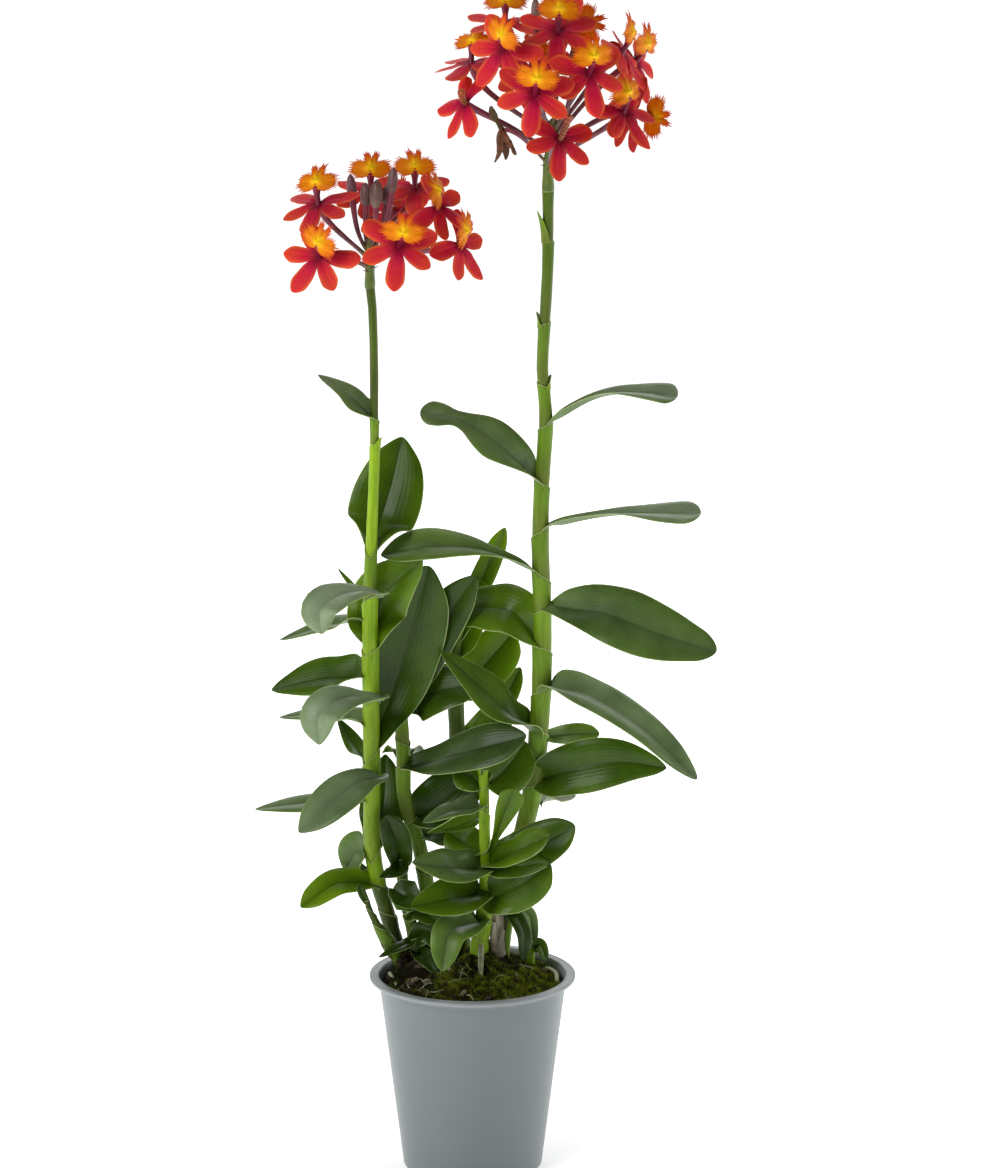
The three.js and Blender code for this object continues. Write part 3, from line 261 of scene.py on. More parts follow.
# Flower heads: the centre of each star, its yaw, pitch and roll, and the height on the spray's axis
# at which its pedicel leaves.  A bud's size is its radius and half its length.
HEADS = {
    "tall": dict(
        axis=[(43, 2, 571), (43, 2, 585), (45, 1, 600), (46, 1, 612)], radii=(3.4, 2.2),
        flowers=[
            ((19, 14, 664), (0, 70, 0), 606), ((0, 7, 642), (-40, 75, -10), 600),
            ((18, -17, 652), (-25, 20, 30), 604), ((-3, -6, 621), (-50, 30, 80), 592),
            ((35, -45, 630), (0, 20, 10), 600), ((48, -10, 661), (5, 50, 5), 608),
            ((54, 32, 660), (150, 10, -90), 608), ((65, -30, 640), (20, 25, -5), 604),
            ((84, 8, 648), (75, 35, -5), 604), ((92, 31, 641), (60, 25, 0), 598),
            ((85, -6, 616), (40, 40, -15), 585), ((49, -26, 603), (30, 30, 15), 584),
            ((90, 20, 613), (120, -10, -90), 590), ((34, 32, 636), (180, 20, 0), 600),
        ],
        no_lip=(4, 12),
        buds=[((36, 2.5, 671), 604, (2.7, 8)), ((57, -4, 646), 600, (2.8, 7.5))],
    ),
    "short": dict(
        axis=[(-57, -8, 518), (-57, -8, 530), (-57, -8, 540), (-56, -8, 546)], radii=(2.9, 2.5),
        flowers=[
            ((-85, -19, 566), (-30, 60, -10), 534), ((-84, -36, 539), (-20, 25, 30), 528),
            ((-40, -42, 546), (10, 15, 10), 530), ((-57, 20, 569), (-5, 60, 0), 542),
            ((-32, 13, 571), (5, 62, 0), 542), ((-19, -14, 564), (40, 40, -50), 536),
            ((-7, -16, 543), (50, 25, -35), 530), ((-44, 28, 556), (170, 10, 0), 538),
        ],
        no_lip=(),
        buds=[((-67, -7, 574), 538, (2.9, 8)), ((-59, -6, 570), 540, (3.2, 7)),
              ((-53, -12, 571), 540, (3.8, 8.5)), ((-47, -6, 570), 540, (2.8, 7)),
              ((-44, -9, 578), 538, (3, 8))],
    ),
}
# Angle round the star, length, width and how orange the tepal is.
TEPALS = ((-90, 25, 10.6, 0.1), (-28, 22, 9.6, 0.5), (-152, 22, 9.6, 0.5), (28, 24, 11, 0.2),
          (152, 24, 11, 0.2))
TEPAL_OUTLINE = ((0, 0.3), (0.12, 0.44), (0.36, 0.84), (0.6, 1), (0.8, 0.98), (1, 0.72))
COLUMN_RADII = ((0, 2.2), (0.15, 1.75), (0.5, 1.6), (0.8, 2.3), (0.93, 2.6), (1, 2.0))
BUD_OUTLINE = ((0, 0.32), (0.2, 0.8), (0.5, 1), (0.8, 0.74), (1, 0.3))
# Half outline of the lip as angle and radius, from the base to the cleft of the middle lobe.
LIP_HALF = ((-90, 3.2), (-70, 4.2), (-46, 7.2), (-26, 9.6), (-10, 11.2), (6, 11.8), (24, 11.4), (39, 10),
            (51, 7), (58, 7.4), (68, 11.4), (80, 12), (90, 7.5))
WITHERED = dict(hub=(17, -10, 607), ovary=(11, -10, 620), arrive=(-0.9, -0.4, 0.1), leaves_at=586,
                radii=((0, 1.5), (0.3, 1.0), (0.65, 2.1), (1, 0.7)),
                tips=[(13, -13, 589), (19, -8, 590), (25, -11, 593), (22, -14, 597)])


# ---------------------------------------------------------------- curves and meshes
# On every sheet and tube t runs from 0 at the foot to 1 at the tip, and s from -1 to 1 across.
def unit(v):
    v = np.asarray(v, float)
    return v / np.maximum(np.linalg.norm(v, axis=-1, keepdims=True), 1e-9)


def smooth_step(x):
    x = np.clip(x, 0, 1)
    return x * x * (3 - 2 * x)


def graph(pairs, x):
    """Broken line through (place, value) pairs."""
    return np.interp(x, *zip(*pairs))


def dice(name):
    return np.random.default_rng(sum(map(ord, name)))


def round_angles(count):
    return np.linspace(0, 2 * np.pi, count, endpoint=False)


def round_off(count):
    """Shares from 0 to 1 that crowd towards 1, for a rounded end."""
    return np.sin(np.linspace(0, np.pi / 2, count))


def both_sides(*places):
    return np.array([*(-p for p in places[::-1]), 0, *places])


def heading(angle):
    """Level direction at an angle, or one at each of many angles."""
    return np.stack([np.cos(angle), np.sin(angle), 0 * angle], -1)


def hermite(u, a, b, slope_a, slope_b):
    return ((2 * u**3 - 3 * u**2 + 1) * a + (u**3 - 2 * u**2 + u) * slope_a
            + (3 * u**2 - 2 * u**3) * b + (u**3 - u**2) * slope_b)


def through(points, t):
    """Centripetal Catmull-Rom curve through the points, at t from 0 to 1 with equal shares a stretch."""
    p = np.asarray(points, float)
    p = np.vstack([2 * p[0] - p[1], p, 2 * p[-1] - p[-2]])
    t = np.atleast_1d(t) * (len(p) - 3)
    k = np.clip(t.astype(int), 0, len(p) - 4)
    a, b, c, d = (p[k + n] for n in range(4))
    ab, bc, cd = (np.sqrt(np.linalg.norm(y - x, axis=1))[:, None] for x, y in ((a, b), (b, c), (c, d)))
    start = ((b - a) / ab - (c - a) / (ab + bc) + (c - b) / bc) * bc
    end = ((c - b) / bc - (d - b) / (bc + cd) + (d - c) / cd) * bc
    return hermite((t - k)[:, None], b, c, start, end)


def profile(table, t):
    """Smooth curve through (place, value) pairs."""
    places, values = np.array(table, float).T
    slopes = np.gradient(values, places)
    k = np.clip(np.searchsorted(places, t, side="right") - 1, 0, len(places) - 2)
    gap = places[k + 1] - places[k]
    return hermite((t - places[k]) / gap, values[k], values[k + 1], gap * slopes[k], gap * slopes[k + 1])


def at_height(line, z):
    """Points of a rising line at heights z."""
    z = np.asarray(z, float)
    return np.stack([*(np.interp(z, line[:, 2], line[:, k]) for k in (0, 1)), z], -1)


def noise2(x, y, cell, seed, size=64):
    """Smooth random field from -1 to 1 with the given cell size."""
    table = np.random.default_rng(seed).uniform(-1, 1, (size, size))
    x, y = (np.asarray(v, float) / cell + 20 for v in (x, y))
    i, j = np.floor(x).astype(int), np.floor(y).astype(int)
    u, v = smooth_step(x - i), smooth_step(y - j)
    low, high = ((1 - u) * table[i % size, k % size] + u * table[(i + 1) % size, k % size]
                 for k in (j, j + 1))
    return (1 - v) * low + v * high


def put(name, data):
    """New object in the scene."""
    thing = bpy.data.objects.new(name, data)
    bpy.context.scene.collection.objects.link(thing)
    return thing


class Skin:
    """Gathers the points, faces and point values of one object, then makes its mesh.

    Along and across say where a point is on its piece, and under is 1 on the back of a sheet.  Tone and edge
    mean what the piece's finish makes of them.
    """

    def __init__(self):
        self.points, self.faces, self.slots, self.count = [], [], [], 0
        self.values = {name: [] for name in ("along", "across", "under", "tone", "edge")}

    def add(self, points, faces, slot=0, **values):
        points = np.asarray(points, float).reshape(-1, 3)
        self.faces += [[i + self.count for i in face] for face in faces]
        self.slots += [slot] * len(faces)
        self.points.append(points)
        for name, store in self.values.items():
            store.append(np.broadcast_to(np.ravel(values.get(name, 0.0)), len(points)))
        self.count += len(points)

    def mesh(self, name):
        mesh = bpy.data.meshes.new(name)
        mesh.from_pydata((np.concatenate(self.points) * MM).tolist(), [], self.faces)
        return mesh

    def build(self, name, materials, slot, nodes=(), sharp=50):
        mesh = self.mesh(name)
        mesh.polygons.foreach_set("material_index", self.slots)
        for value, blocks in self.values.items():
            data = np.concatenate(blocks).astype(np.float32)
            if data.any():
                mesh.attributes.new(value, "FLOAT", "POINT").data.foreach_set("value", data)
        mesh.shade_smooth()
        mesh.set_sharp_from_angle(angle=math.radians(sharp))
        for material in materials:
            mesh.materials.append(material)
        piece = put(name, mesh)
        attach(piece, "root")
        if nodes:
            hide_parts(*nodes)
        return piece


def grid_faces(rows, cols, wrap=False):
    r, c = np.meshgrid(np.arange(rows - 1), np.arange(cols if wrap else cols - 1), indexing="ij")
    a, b = r * cols + c, r * cols + (c + 1) % cols
    return np.stack([a, b, b + cols, a + cols], -1).reshape(-1, 4)


def strip(line, side, half, across, lift, rise):
    """Grid of points on a line: half the width goes out along side, and rise goes up along lift."""
    side, lift = (np.broadcast_to(v, line.shape)[:, None] for v in (side, lift))
    return line[:, None] + side * (half[:, None] * across)[..., None] + lift * rise[..., None]


def add_sheet(skin, centre, facing, thickness, slot=0, **values):
    """Thin closed sheet on a grid of points; its front looks the way facing does."""
    rows, cols = centre.shape[:2]
    count = rows * cols
    normal = unit(np.cross(np.gradient(centre, axis=1), np.gradient(centre, axis=0)))
    flip = np.sum(normal * facing) < 0
    half = (-normal if flip else normal) * np.broadcast_to(thickness, (rows, cols))[..., None] / 2
    front = grid_faces(rows, cols)
    number = np.arange(count).reshape(rows, cols)
    rim = np.concatenate([number[0, :-1], number[:-1, -1], number[-1, :0:-1], number[:0:-1, 0]])
    after = np.roll(rim, -1)
    border = np.stack([rim, rim + count, after + count, after], -1)
    faces = np.concatenate([front, front[:, ::-1] + count, border])
    double = {k: np.tile(np.broadcast_to(v, (rows, cols)).ravel(), 2) for k, v in values.items()}
    faces = faces[:, ::-1] if flip else faces
    skin.add(np.concatenate([centre + half, centre - half]), faces.tolist(), slot,
             under=np.repeat([0.0, 1.0], count), **double)


def line_frames(line):
    """Tangent and two directions across a line, carried along it without twist."""
    tangent = unit(np.gradient(line, axis=0))
    side, sides = np.eye(3)[int(abs(tangent[0, 0]) > 0.9)], []
    for ahead in tangent:
        side = unit(side - ahead * (side @ ahead))
        sides.append(side)
    return tangent, np.array(sides), np.cross(tangent, sides)


def add_rings(skin, rings, slot=0, **values):
    """Closed skin through rings of points, with a fan on each end."""
    rows, cols = rings.shape[:2]
    count, last, ring = rows * cols, (rows - 1) * cols, np.arange(cols)
    after, hub = np.roll(ring, -1), np.full(cols, rows * cols)
    faces = [*grid_faces(rows, cols, wrap=True).tolist(), *np.stack([hub, after, ring], -1).tolist(),
             *np.stack([hub + 1, ring + last, after + last], -1).tolist()]
    spread = {}
    for name, value in values.items():
        value = np.asarray(value, float)
        value = np.broadcast_to(value[:, None] if value.ndim == 1 else value, (rows, cols))
        spread[name] = np.concatenate([value.ravel(), [value[0].mean(), value[-1].mean()]])
    ends = [rings[0].mean(0), rings[-1].mean(0)]
    skin.add(np.concatenate([rings.reshape(count, 3), ends]), faces, slot, **spread)


def add_tube(skin, line, radius, sides=16, **values):
    """Closed tube; radius is one value, one a station, or one a station and side."""
    line, radius = np.asarray(line, float), np.asarray(radius, float)
    _, side, top = line_frames(line)
    angle = round_angles(sides)[:, None]
    radius = np.broadcast_to(radius if radius.ndim == 2 else radius.reshape(-1, 1), (len(line), sides))
    rings = side[:, None] * np.cos(angle) + top[:, None] * np.sin(angle)
    add_rings(skin, line[:, None] + radius[..., None] * rings, **values)


# ---------------------------------------------------------------- materials
class Tree:
    """Writes shader nodes."""

    def __init__(self, tree):
        self.tree = tree

    def link(self, value, socket):
        if isinstance(value, bpy.types.NodeSocket):
            self.tree.links.new(value, socket)
        elif socket.type == "RGBA" and len(value) == 3:
            socket.default_value = (*value, 1)
        else:
            socket.default_value = value

    def node(self, kind, output=0, inputs=None, **settings):
        node = self.tree.nodes.new("ShaderNode" + kind)
        for name, value in settings.items():
            setattr(node, name, value)
        for name, value in (inputs or {}).items():
            self.link(value, node.inputs[name])
        return node.outputs[output]

    def calc(self, operation, a, b=0.0, c=0.0):
        return self.node("Math", operation=operation, inputs={0: a, 1: b, 2: c})


class Finish(Tree):
    """Builds one procedural material, colour by colour."""

    def __init__(self, name, roughness=0.5, specular=0.5):
        self.material = bpy.data.materials.new(name)
        self.material.use_nodes = True
        super().__init__(self.material.node_tree)
        self.set(Roughness=roughness, Specular_IOR_Level=specular)

    def set(self, **sockets):
        for name, value in sockets.items():
            self.link(value, self.tree.nodes["Principled BSDF"].inputs[name.replace("_", " ")])

    def values(self, *names):
        """Point values that Skin stored."""
        return [self.node("Attribute", "Fac", attribute_name=name) for name in names]

    def noise(self, scale, detail=3.0, rough=0.55, stretch=(1, 1, 1)):
        place = self.node("Mapping", inputs={"Vector": self.node("TexCoord", "Object"), "Scale": stretch})
        grain = {"Vector": place, "Scale": scale, "Detail": detail, "Roughness": rough}
        return self.node("TexNoise", "Fac", grain)

    def times(self, a, b):
        return self.calc("MULTIPLY", a, b)

    def stripes(self, value, count):
        return self.calc("SINE", self.times(value, count))

    def remap(self, value, low, high, to_low=0.0, to_high=1.0):
        return self.node("MapRange", inputs={"Value": value, "From Min": low, "From Max": high,
                                             "To Min": to_low, "To Max": to_high})

    def blend(self, share, a, b):
        return self.node("Mix", 2, {0: share, 6: a, 7: b}, data_type="RGBA")

    def ramp(self, share, *stops):
        node = self.tree.nodes.new("ShaderNodeValToRGB")
        self.link(share, node.inputs[0])
        elements = node.color_ramp.elements
        for k, (place, colour) in enumerate(stops):
            element = elements[k] if k < 2 else elements.new(place)
            element.position, element.color = place, (*colour, 1)
        return node.outputs[0]

    def mottle(self, share, dark, light):
        return self.ramp(share, (0.3, dark), (0.7, light))

    def lay(self, value, colour, *span):
        """Lays a colour over what is there as far as value says, mapped from span to span if given."""
        self.colour = self.blend(self.remap(value, *span) if span else value, self.colour, colour)

    def done(self, height=None, strength=0.0, distance=0.0):
        self.set(Base_Color=self.colour)
        if height is not None:
            bump = self.node("Bump", inputs={"Height": height, "Strength": strength, "Distance": distance})
            self.set(Normal=bump)
        return self.material


def leaf_material():
    f = Finish("leaf_green", specular=0.22)
    along, across, under, tone, sheen_share = f.values("along", "across", "under", "tone", "edge")
    blotch, distance, veins = f.noise(38, 4), f.calc("ABSOLUTE", across), f.stripes(across, 46)
    dark = f.mottle(blotch, (0.007, 0.022, 0.001), (0.021, 0.05, 0.002))
    f.colour = f.mottle(blotch, (0.03, 0.074, 0.002), (0.076, 0.15, 0.005))
    # Tone above nought lays a brighter green, partly fresher leaf colour and partly painted sunlight; below
    # nought the dark green, partly older leaf colour and partly painted shade.
    f.lay(tone, f.mottle(blotch, (0.1, 0.2, 0.002), (0.16, 0.29, 0.004)), 0.0, 0.8)
    f.lay(tone, dark, 0.0, -0.5)
    # Painted shade: dark green laid over the folded middle of the blade, fading towards the sides.
    f.lay(distance, dark, 0.1, 0.8, 0.4, 0)
    f.lay(f.times(under, 0.6), (0.07, 0.14, 0.01))
    f.lay(veins, (0.12, 0.2, 0.03), 0.2, 1.0, 0, 0.1)
    f.lay(along, (0.1, 0.19, 0.012), 0.14, 0.0, 0, 0.7)
    # Painted shade: a thin dark line in the midrib's groove.
    f.lay(distance, (0.02, 0.045, 0.004), 0.05, 0.015, 0, 0.5)
    # bloom is the mask of a painted sheen: a pale grey-green painted highlight, as strong as the leaf's
    # sheen share
    bloom = f.times(f.remap(blotch, 0.3, 0.7, 0.45, 1), f.remap(distance, 1.0, 0.5, 0.65, 1))
    f.lay(f.times(sheen_share, bloom), (0.33, 0.41, 0.27))
    # Pale rim: partly the paler margin of the leaf, partly painted light shining through the edge.
    f.lay(distance, (0.36, 0.46, 0.16), 0.962, 0.985, 0, 0.8)
    f.set(Roughness=f.remap(f.noise(90, 3), 0.2, 0.8, 0.24, 0.38))
    return f.done(f.calc("ADD", f.times(veins, 0.35), f.noise(420, 2)), 0.2, 0.0003)


def cane_material():
    f = Finish("cane_green", specular=0.2)
    along, tone, edge = f.values("along", "tone", "edge")
    streak = f.noise(60, 4, stretch=(9, 9, 0.7))
    f.colour = f.mottle(streak, (0.105, 0.155, 0.012), (0.172, 0.23, 0.028))
    f.lay(along, f.mottle(streak, (0.1, 0.2, 0.005), (0.17, 0.3, 0.014)), 0.3, 0.7)
    # Painted shade: darker green just under each sheath's mouth and on its inner wall.
    f.lay(along, (0.07, 0.13, 0.006), 0.93, 1.0, 0, 0.5)
    # Below nought, tone lays a dull dark green, partly older cane and partly painted shade; above nought, a
    # bright yellow-green, partly fresher cane and partly painted sunlight.
    f.lay(tone, f.mottle(streak, (0.022, 0.04, 0.003), (0.055, 0.085, 0.008)), 0.0, -0.6)
    f.lay(tone, f.mottle(streak, (0.2, 0.38, 0.003), (0.36, 0.56, 0.015)), 0.0, 0.6, 0, 0.8)
    specks = f.times(f.remap(f.noise(900, 2), 0.6, 0.68, 0, 0.5), f.remap(along, 0.5, 0.9))
    f.lay(specks, (0.04, 0.06, 0.01))
    f.lay(edge, (0.38, 0.47, 0.18), 0.5, 1.0, 0, 0.85)
    f.set(Roughness=f.remap(streak, 0.2, 0.8, 0.36, 0.5))
    return f.done(streak, 0.2, 0.0004)


def tepal_material():
    f = Finish("tepal_red", specular=0.06)
    along, across, under, tone = f.values("along", "across", "under", "tone")
    veins = f.stripes(across, 30)
    f.colour = f.ramp(along, (0.03, (0.11, 0.0, 0.02)), (0.28, (0.42, 0.003, 0.045)),
                      (0.6, (0.6, 0.012, 0.04)), (1.0, (0.66, 0.03, 0.03)))
    warm = f.ramp(along, (0.03, (0.13, 0.0, 0.02)), (0.34, (0.58, 0.014, 0.03)), (1.0, (0.76, 0.075, 0.02)))
    f.lay(tone, warm)
    margin = f.times(f.remap(f.calc("ABSOLUTE", across), 0.62, 1.0), f.remap(along, 0.15, 0.6))
    f.lay(f.times(margin, 0.75), (0.8, 0.17, 0.03))
    f.lay(veins, (0.3, 0.0, 0.015), 0.3, 1.0, 0, 0.16)
    f.lay(f.times(under, 0.35), (0.42, 0.035, 0.035))
    f.lay(f.noise(160, 3), (0.75, 0.16, 0.03), 0.4, 0.7, 0, 0.08)
    return f.done(f.calc("ADD", f.times(veins, 0.5), f.noise(700, 2)), 0.18, 0.0003)


def lip_material():
    f = Finish("lip_orange", specular=0.08)
    along, across, tone, edge = f.values("along", "across", "tone", "edge")
    outer = f.remap(along, 0.3, 0.6)
    f.colour = f.ramp(along, (0.0, (0.8, 0.36, 0.002)), (0.3, (0.74, 0.23, 0.002)),
                      (0.8, (0.7, 0.19, 0.002)), (0.93, (0.6, 0.1, 0.003)))
    f.lay(f.times(f.remap(f.stripes(across, 0.42), 0.2, 0.9, 0, 0.4), outer), (0.55, 0.09, 0.003))
    f.lay(tone, (0.55, 0.03, 0.006))
    f.lay(edge, (0.86, 0.55, 0.006))
    spots = f.times(f.remap(f.noise(480, 2), 0.56, 0.7, 0, 0.4), f.remap(along, 0.3, 0.7))
    f.lay(spots, (0.5, 0.06, 0.005))
    return f.done(f.noise(500, 3), 0.25, 0.0003)


def column_material():
    f = Finish("column_crimson", 0.4, 0.35)
    along, edge = f.values("along", "edge")
    f.colour = f.ramp(along, (0.0, (0.16, 0.0, 0.02)), (0.6, (0.13, 0.0, 0.02)), (1.0, (0.3, 0.006, 0.02)))
    f.lay(edge, (0.5, 0.26, 0.03))
    return f.done(f.noise(500, 3), 0.2, 0.0003)


def pedicel_material():
    f = Finish("pedicel_purple_brown", 0.42, 0.4)
    along, tone = f.values("along", "tone")
    streak = f.noise(160, 3)
    f.colour = f.mottle(streak, (0.07, 0.12, 0.02), (0.13, 0.2, 0.035))
    f.lay(along, f.mottle(streak, (0.09, 0.028, 0.04), (0.2, 0.08, 0.09)), 0.0, 0.22)
    f.lay(along, f.mottle(streak, (0.19, 0.018, 0.055), (0.32, 0.06, 0.1)), 0.45, 0.9, 0, 0.85)
    f.lay(tone, f.mottle(streak, (0.06, 0.11, 0.012), (0.12, 0.19, 0.022)))
    return f.done(streak, 0.25, 0.0004)


def bud_material():
    f = Finish("bud_mauve", 0.4, 0.45)
    along, tone, edge = f.values("along", "tone", "edge")
    streak = f.noise(150, 3)
    f.colour = f.mottle(streak, (0.13, 0.045, 0.065), (0.24, 0.11, 0.13))
    f.lay(tone, f.mottle(streak, (0.08, 0.075, 0.03), (0.17, 0.15, 0.06)))
    f.lay(along, (0.12, 0.05, 0.05), 0.75, 1.0, 0, 0.6)
    f.lay(edge, (0.08, 0.035, 0.035))
    return f.done(streak, 0.2, 0.0004)


def dry_material():
    f = Finish("dry_brown", 0.8, 0.2)
    fibre = f.noise(300, 4, stretch=(1, 1, 0.08))
    f.colour = f.mottle(fibre, (0.2, 0.17, 0.12), (0.52, 0.48, 0.38))
    f.lay(f.noise(70, 3), f.mottle(fibre, (0.06, 0.046, 0.03), (0.17, 0.14, 0.095)), 0.5, 0.68)
    f.lay(*f.values("tone"), (0.1, 0.055, 0.03))
    return f.done(fibre, 0.6, 0.0008)


def withered_material():
    f = Finish("withered_brown", 0.7, 0.25)
    grain = f.noise(260, 4)
    f.colour = f.ramp(grain, (0.3, (0.045, 0.03, 0.018)), (0.55, (0.17, 0.065, 0.035)),
                      (0.75, (0.33, 0.1, 0.05)))
    f.lay(*f.values("tone"), (0.06, 0.055, 0.018))
    return f.done(grain, 0.6, 0.0006)


def root_material():
    f = Finish("root_pale", 0.7, 0.25)
    grain = f.noise(220, 4)
    f.colour = f.ramp(grain, (0.3, (0.2, 0.19, 0.1)), (0.65, (0.5, 0.48, 0.33)))
    f.lay(f.noise(60, 2), (0.34, 0.4, 0.12), 0.45, 0.65, 0, 0.6)
    f.lay(*f.values("along"), (0.12, 0.1, 0.05), 0.12, 0.0, 0, 0.7)
    return f.done(grain, 0.4, 0.0006)


def soil_material():
    f = Finish("bark_peat", 0.95, 0.15)
    coarse, fine = f.noise(130, 5, 0.7), f.noise(520, 4, 0.7)
    f.colour = f.ramp(coarse, (0.3, (0.003, 0.0025, 0.0015)), (0.55, (0.012, 0.009, 0.004)),
                      (0.75, (0.035, 0.025, 0.01)))
    f.lay(*f.values("tone"), f.mottle(fine, (0.004, 0.006, 0.001), (0.03, 0.04, 0.004)))
    return f.done(f.calc("ADD", coarse, fine), 1.0, 0.0015)


def moss_material():
    f = Finish("moss_green", 0.8, 0.2)
    tone, along = f.values("tone", "along")
    # Sprigs are near black at the foot and lighter at the tip: partly fresher tips, partly painted shade low
    # among the sprigs.
    f.colour = f.blend(tone, (0.005, 0.006, 0.001), (0.035, 0.05, 0.003))
    f.lay(along, f.blend(tone, (0.014, 0.018, 0.003), (0.34, 0.4, 0.02)))
    f.lay(f.noise(160, 3), (0.05, 0.032, 0.014), 0.52, 0.7, 0, 0.7)
    return f.done()


def bark_material():
    f = Finish("bark_chip", 0.85, 0.2)
    grain = f.noise(260, 5, 0.7)
    f.colour = f.mottle(grain, (0.008, 0.005, 0.0025), (0.045, 0.027, 0.013))
    f.lay(*f.values("tone"), f.mottle(grain, (0.2, 0.15, 0.085), (0.55, 0.46, 0.32)))
    return f.done(grain, 0.8, 0.001)


def pot_material():
    f = Finish("pot_grey_plastic")
    f.colour = f.ramp(f.noise(14, 3), (0.0, (0.168, 0.198, 0.206)), (1.0, (0.19, 0.22, 0.228)))
    height = f.node("SeparateXYZ", "Z", {"Vector": f.node("TexCoord", "Object")})
    # Painted highlight: the top of the rim and flange laid lighter grey, as if lit from above.
    f.lay(height, (0.36, 0.38, 0.39), 0.109, 0.1126, 0, 0.6)
    f.set(Roughness=f.remap(f.noise(30, 2), 0.0, 1.0, 0.3, 0.38))
    return f.done()


# ---------------------------------------------------------------- pot and potting mix
def pot_inner(z):
    """Radius of the pot's inner wall."""
    return POT["base"] + (POT["rim"] - POT["base"]) * z / POT["height"] - POT["wall"]


def rounded(corners, radius, steps=4):
    """Profile whose inner corners are cut by short arcs."""
    corners, t = np.array(corners, float), np.linspace(0, 1, steps)[:, None]
    out = [corners[:1]]
    for before, corner, after in zip(corners, corners[1:], corners[2:]):
        reach = min(radius, *(np.linalg.norm(p - corner) / 2.2 for p in (before, after)))
        a, b = (corner + unit(p - corner) * reach for p in (before, after))
        out.append((1 - t)**2 * a + 2 * t * (1 - t) * corner + t**2 * b)
    return np.concatenate([*out, corners[-1:]])


def make_pot(material):
    top, rim, base, floor = (POT[k] for k in ("height", "rim", "base", "floor"))
    under, lip = top - POT["flange_thickness"], top - POT["lip_depth"]
    wall = [(base + (rim - 1 - base) * k / 8, (under - 5) * k / 8) for k in range(9)]
    corners = [(0.01, 0), *wall, (rim, under), (POT["flange"], under), (POT["flange"], top),
               (rim - POT["lip_width"], top), (pot_inner(lip), lip), (pot_inner(floor), floor),
               (0.01, floor)]
    radius, z = rounded(corners, POT["corner"]).T[..., None, None]
    skin, cutter = Skin(), Skin()
    add_rings(skin, radius * heading(round_angles(POT["segments"])) + z * UP)
    pot = skin.build("nursery_pot", [material], "pot_plastic", ["pot"], sharp=60)
    half, below, reach = POT["notch_width"] / 2, -POT["notch_below"], POT["notch_reach"]
    arch = [(a, POT["notch_height"] * (1 - 0.12 * (a / half)**4)) for a in np.linspace(-half, half, 9)]
    for azimuth in np.radians(POT["notches"]):
        out, side = heading(azimuth), heading(azimuth + np.pi / 2)
        ring = np.array([side * a + UP * z for a, z in [(-half, below), *arch, (half, below)]])
        add_rings(cutter, np.array([ring + out * (base - reach), ring + out * (base + reach)]))
    tool = put("notches", cutter.mesh("notches"))
    cut = pot.modifiers.new("notches", "BOOLEAN")
    cut.object, cut.operation, cut.solver = tool, "DIFFERENCE", "EXACT"
    bpy.context.view_layer.objects.active = pot
    with bpy.context.temp_override(object=pot, active_object=pot, selected_objects=[pot]):
        bpy.ops.object.modifier_apply(modifier="notches")
    bpy.data.objects.remove(tool)
    pot.data.shade_smooth()
    pot.data.set_sharp_from_angle(angle=math.radians(40))


def moss_height(x, y):
    """Height of the moss: a low mound with soft bumps, finer than the solid's."""
    q = np.minimum(np.hypot(x, y - 4) / POT["rim"], 1)
    bumps = np.sin(0.31 * x + 1.2) * np.cos(0.27 * y - 0.4) + 0.6 * np.sin(0.53 * y + 0.41 * x)
    fine = 0.9 * noise2(x, y, cell=5, seed=3) + 0.45 * noise2(x, y, cell=2.2, seed=4)
    heap = sum(up * np.exp(-((x - hx)**2 + (y - hy)**2) / reach**2) for hx, hy, up, reach in HEAPS)
    return MIX["edge_top"] + MIX["mound"] * (1 - q * q) + (MIX["bump"] * bumps + heap + fine) * (1 - q**6)


def mossiness(x, y):
    """How green the surface is: most at the front right, least at the back left."""
    drift = 0.48 + 0.011 * x - 0.008 * y
    patches = 0.45 * noise2(x, y, cell=14, seed=11) + 0.25 * noise2(x, y, cell=5, seed=12)
    return np.clip(drift + patches, 0.04, 1)


def make_mix(material):
    edge, floor = pot_inner(MIX["edge_top"]) - MIX["wall_gap"], POT["floor"] + MIX["floor_gap"]
    circle, skin = heading(round_angles(MIX["sides"])), Skin()
    flat = circle * edge * np.array([1.0, *np.linspace(0.985, 0.012, MIX["rings"])])[:, None, None]
    foot = circle * (pot_inner(floor) - MIX["wall_gap"]) + UP * floor
    rings = np.concatenate([foot[None], flat + UP * moss_height(*flat.T[:2]).T[..., None]])
    add_rings(skin, rings, tone=mossiness(*rings.T[:2]).T)
    skin.build("potting_mix_surface", [material], "bark_and_moss", ["potting_mix"])


def scatter(count, seed, margin):
    """Random places on the mix that keep a margin from the pot's wall."""
    draw = np.random.default_rng(seed)
    radius = (pot_inner(MIX["edge_top"]) - margin) * np.sqrt(draw.uniform(0, 1, count))
    angle = draw.uniform(0, 2 * np.pi, count)
    return draw, radius * np.cos(angle), radius * np.sin(angle)


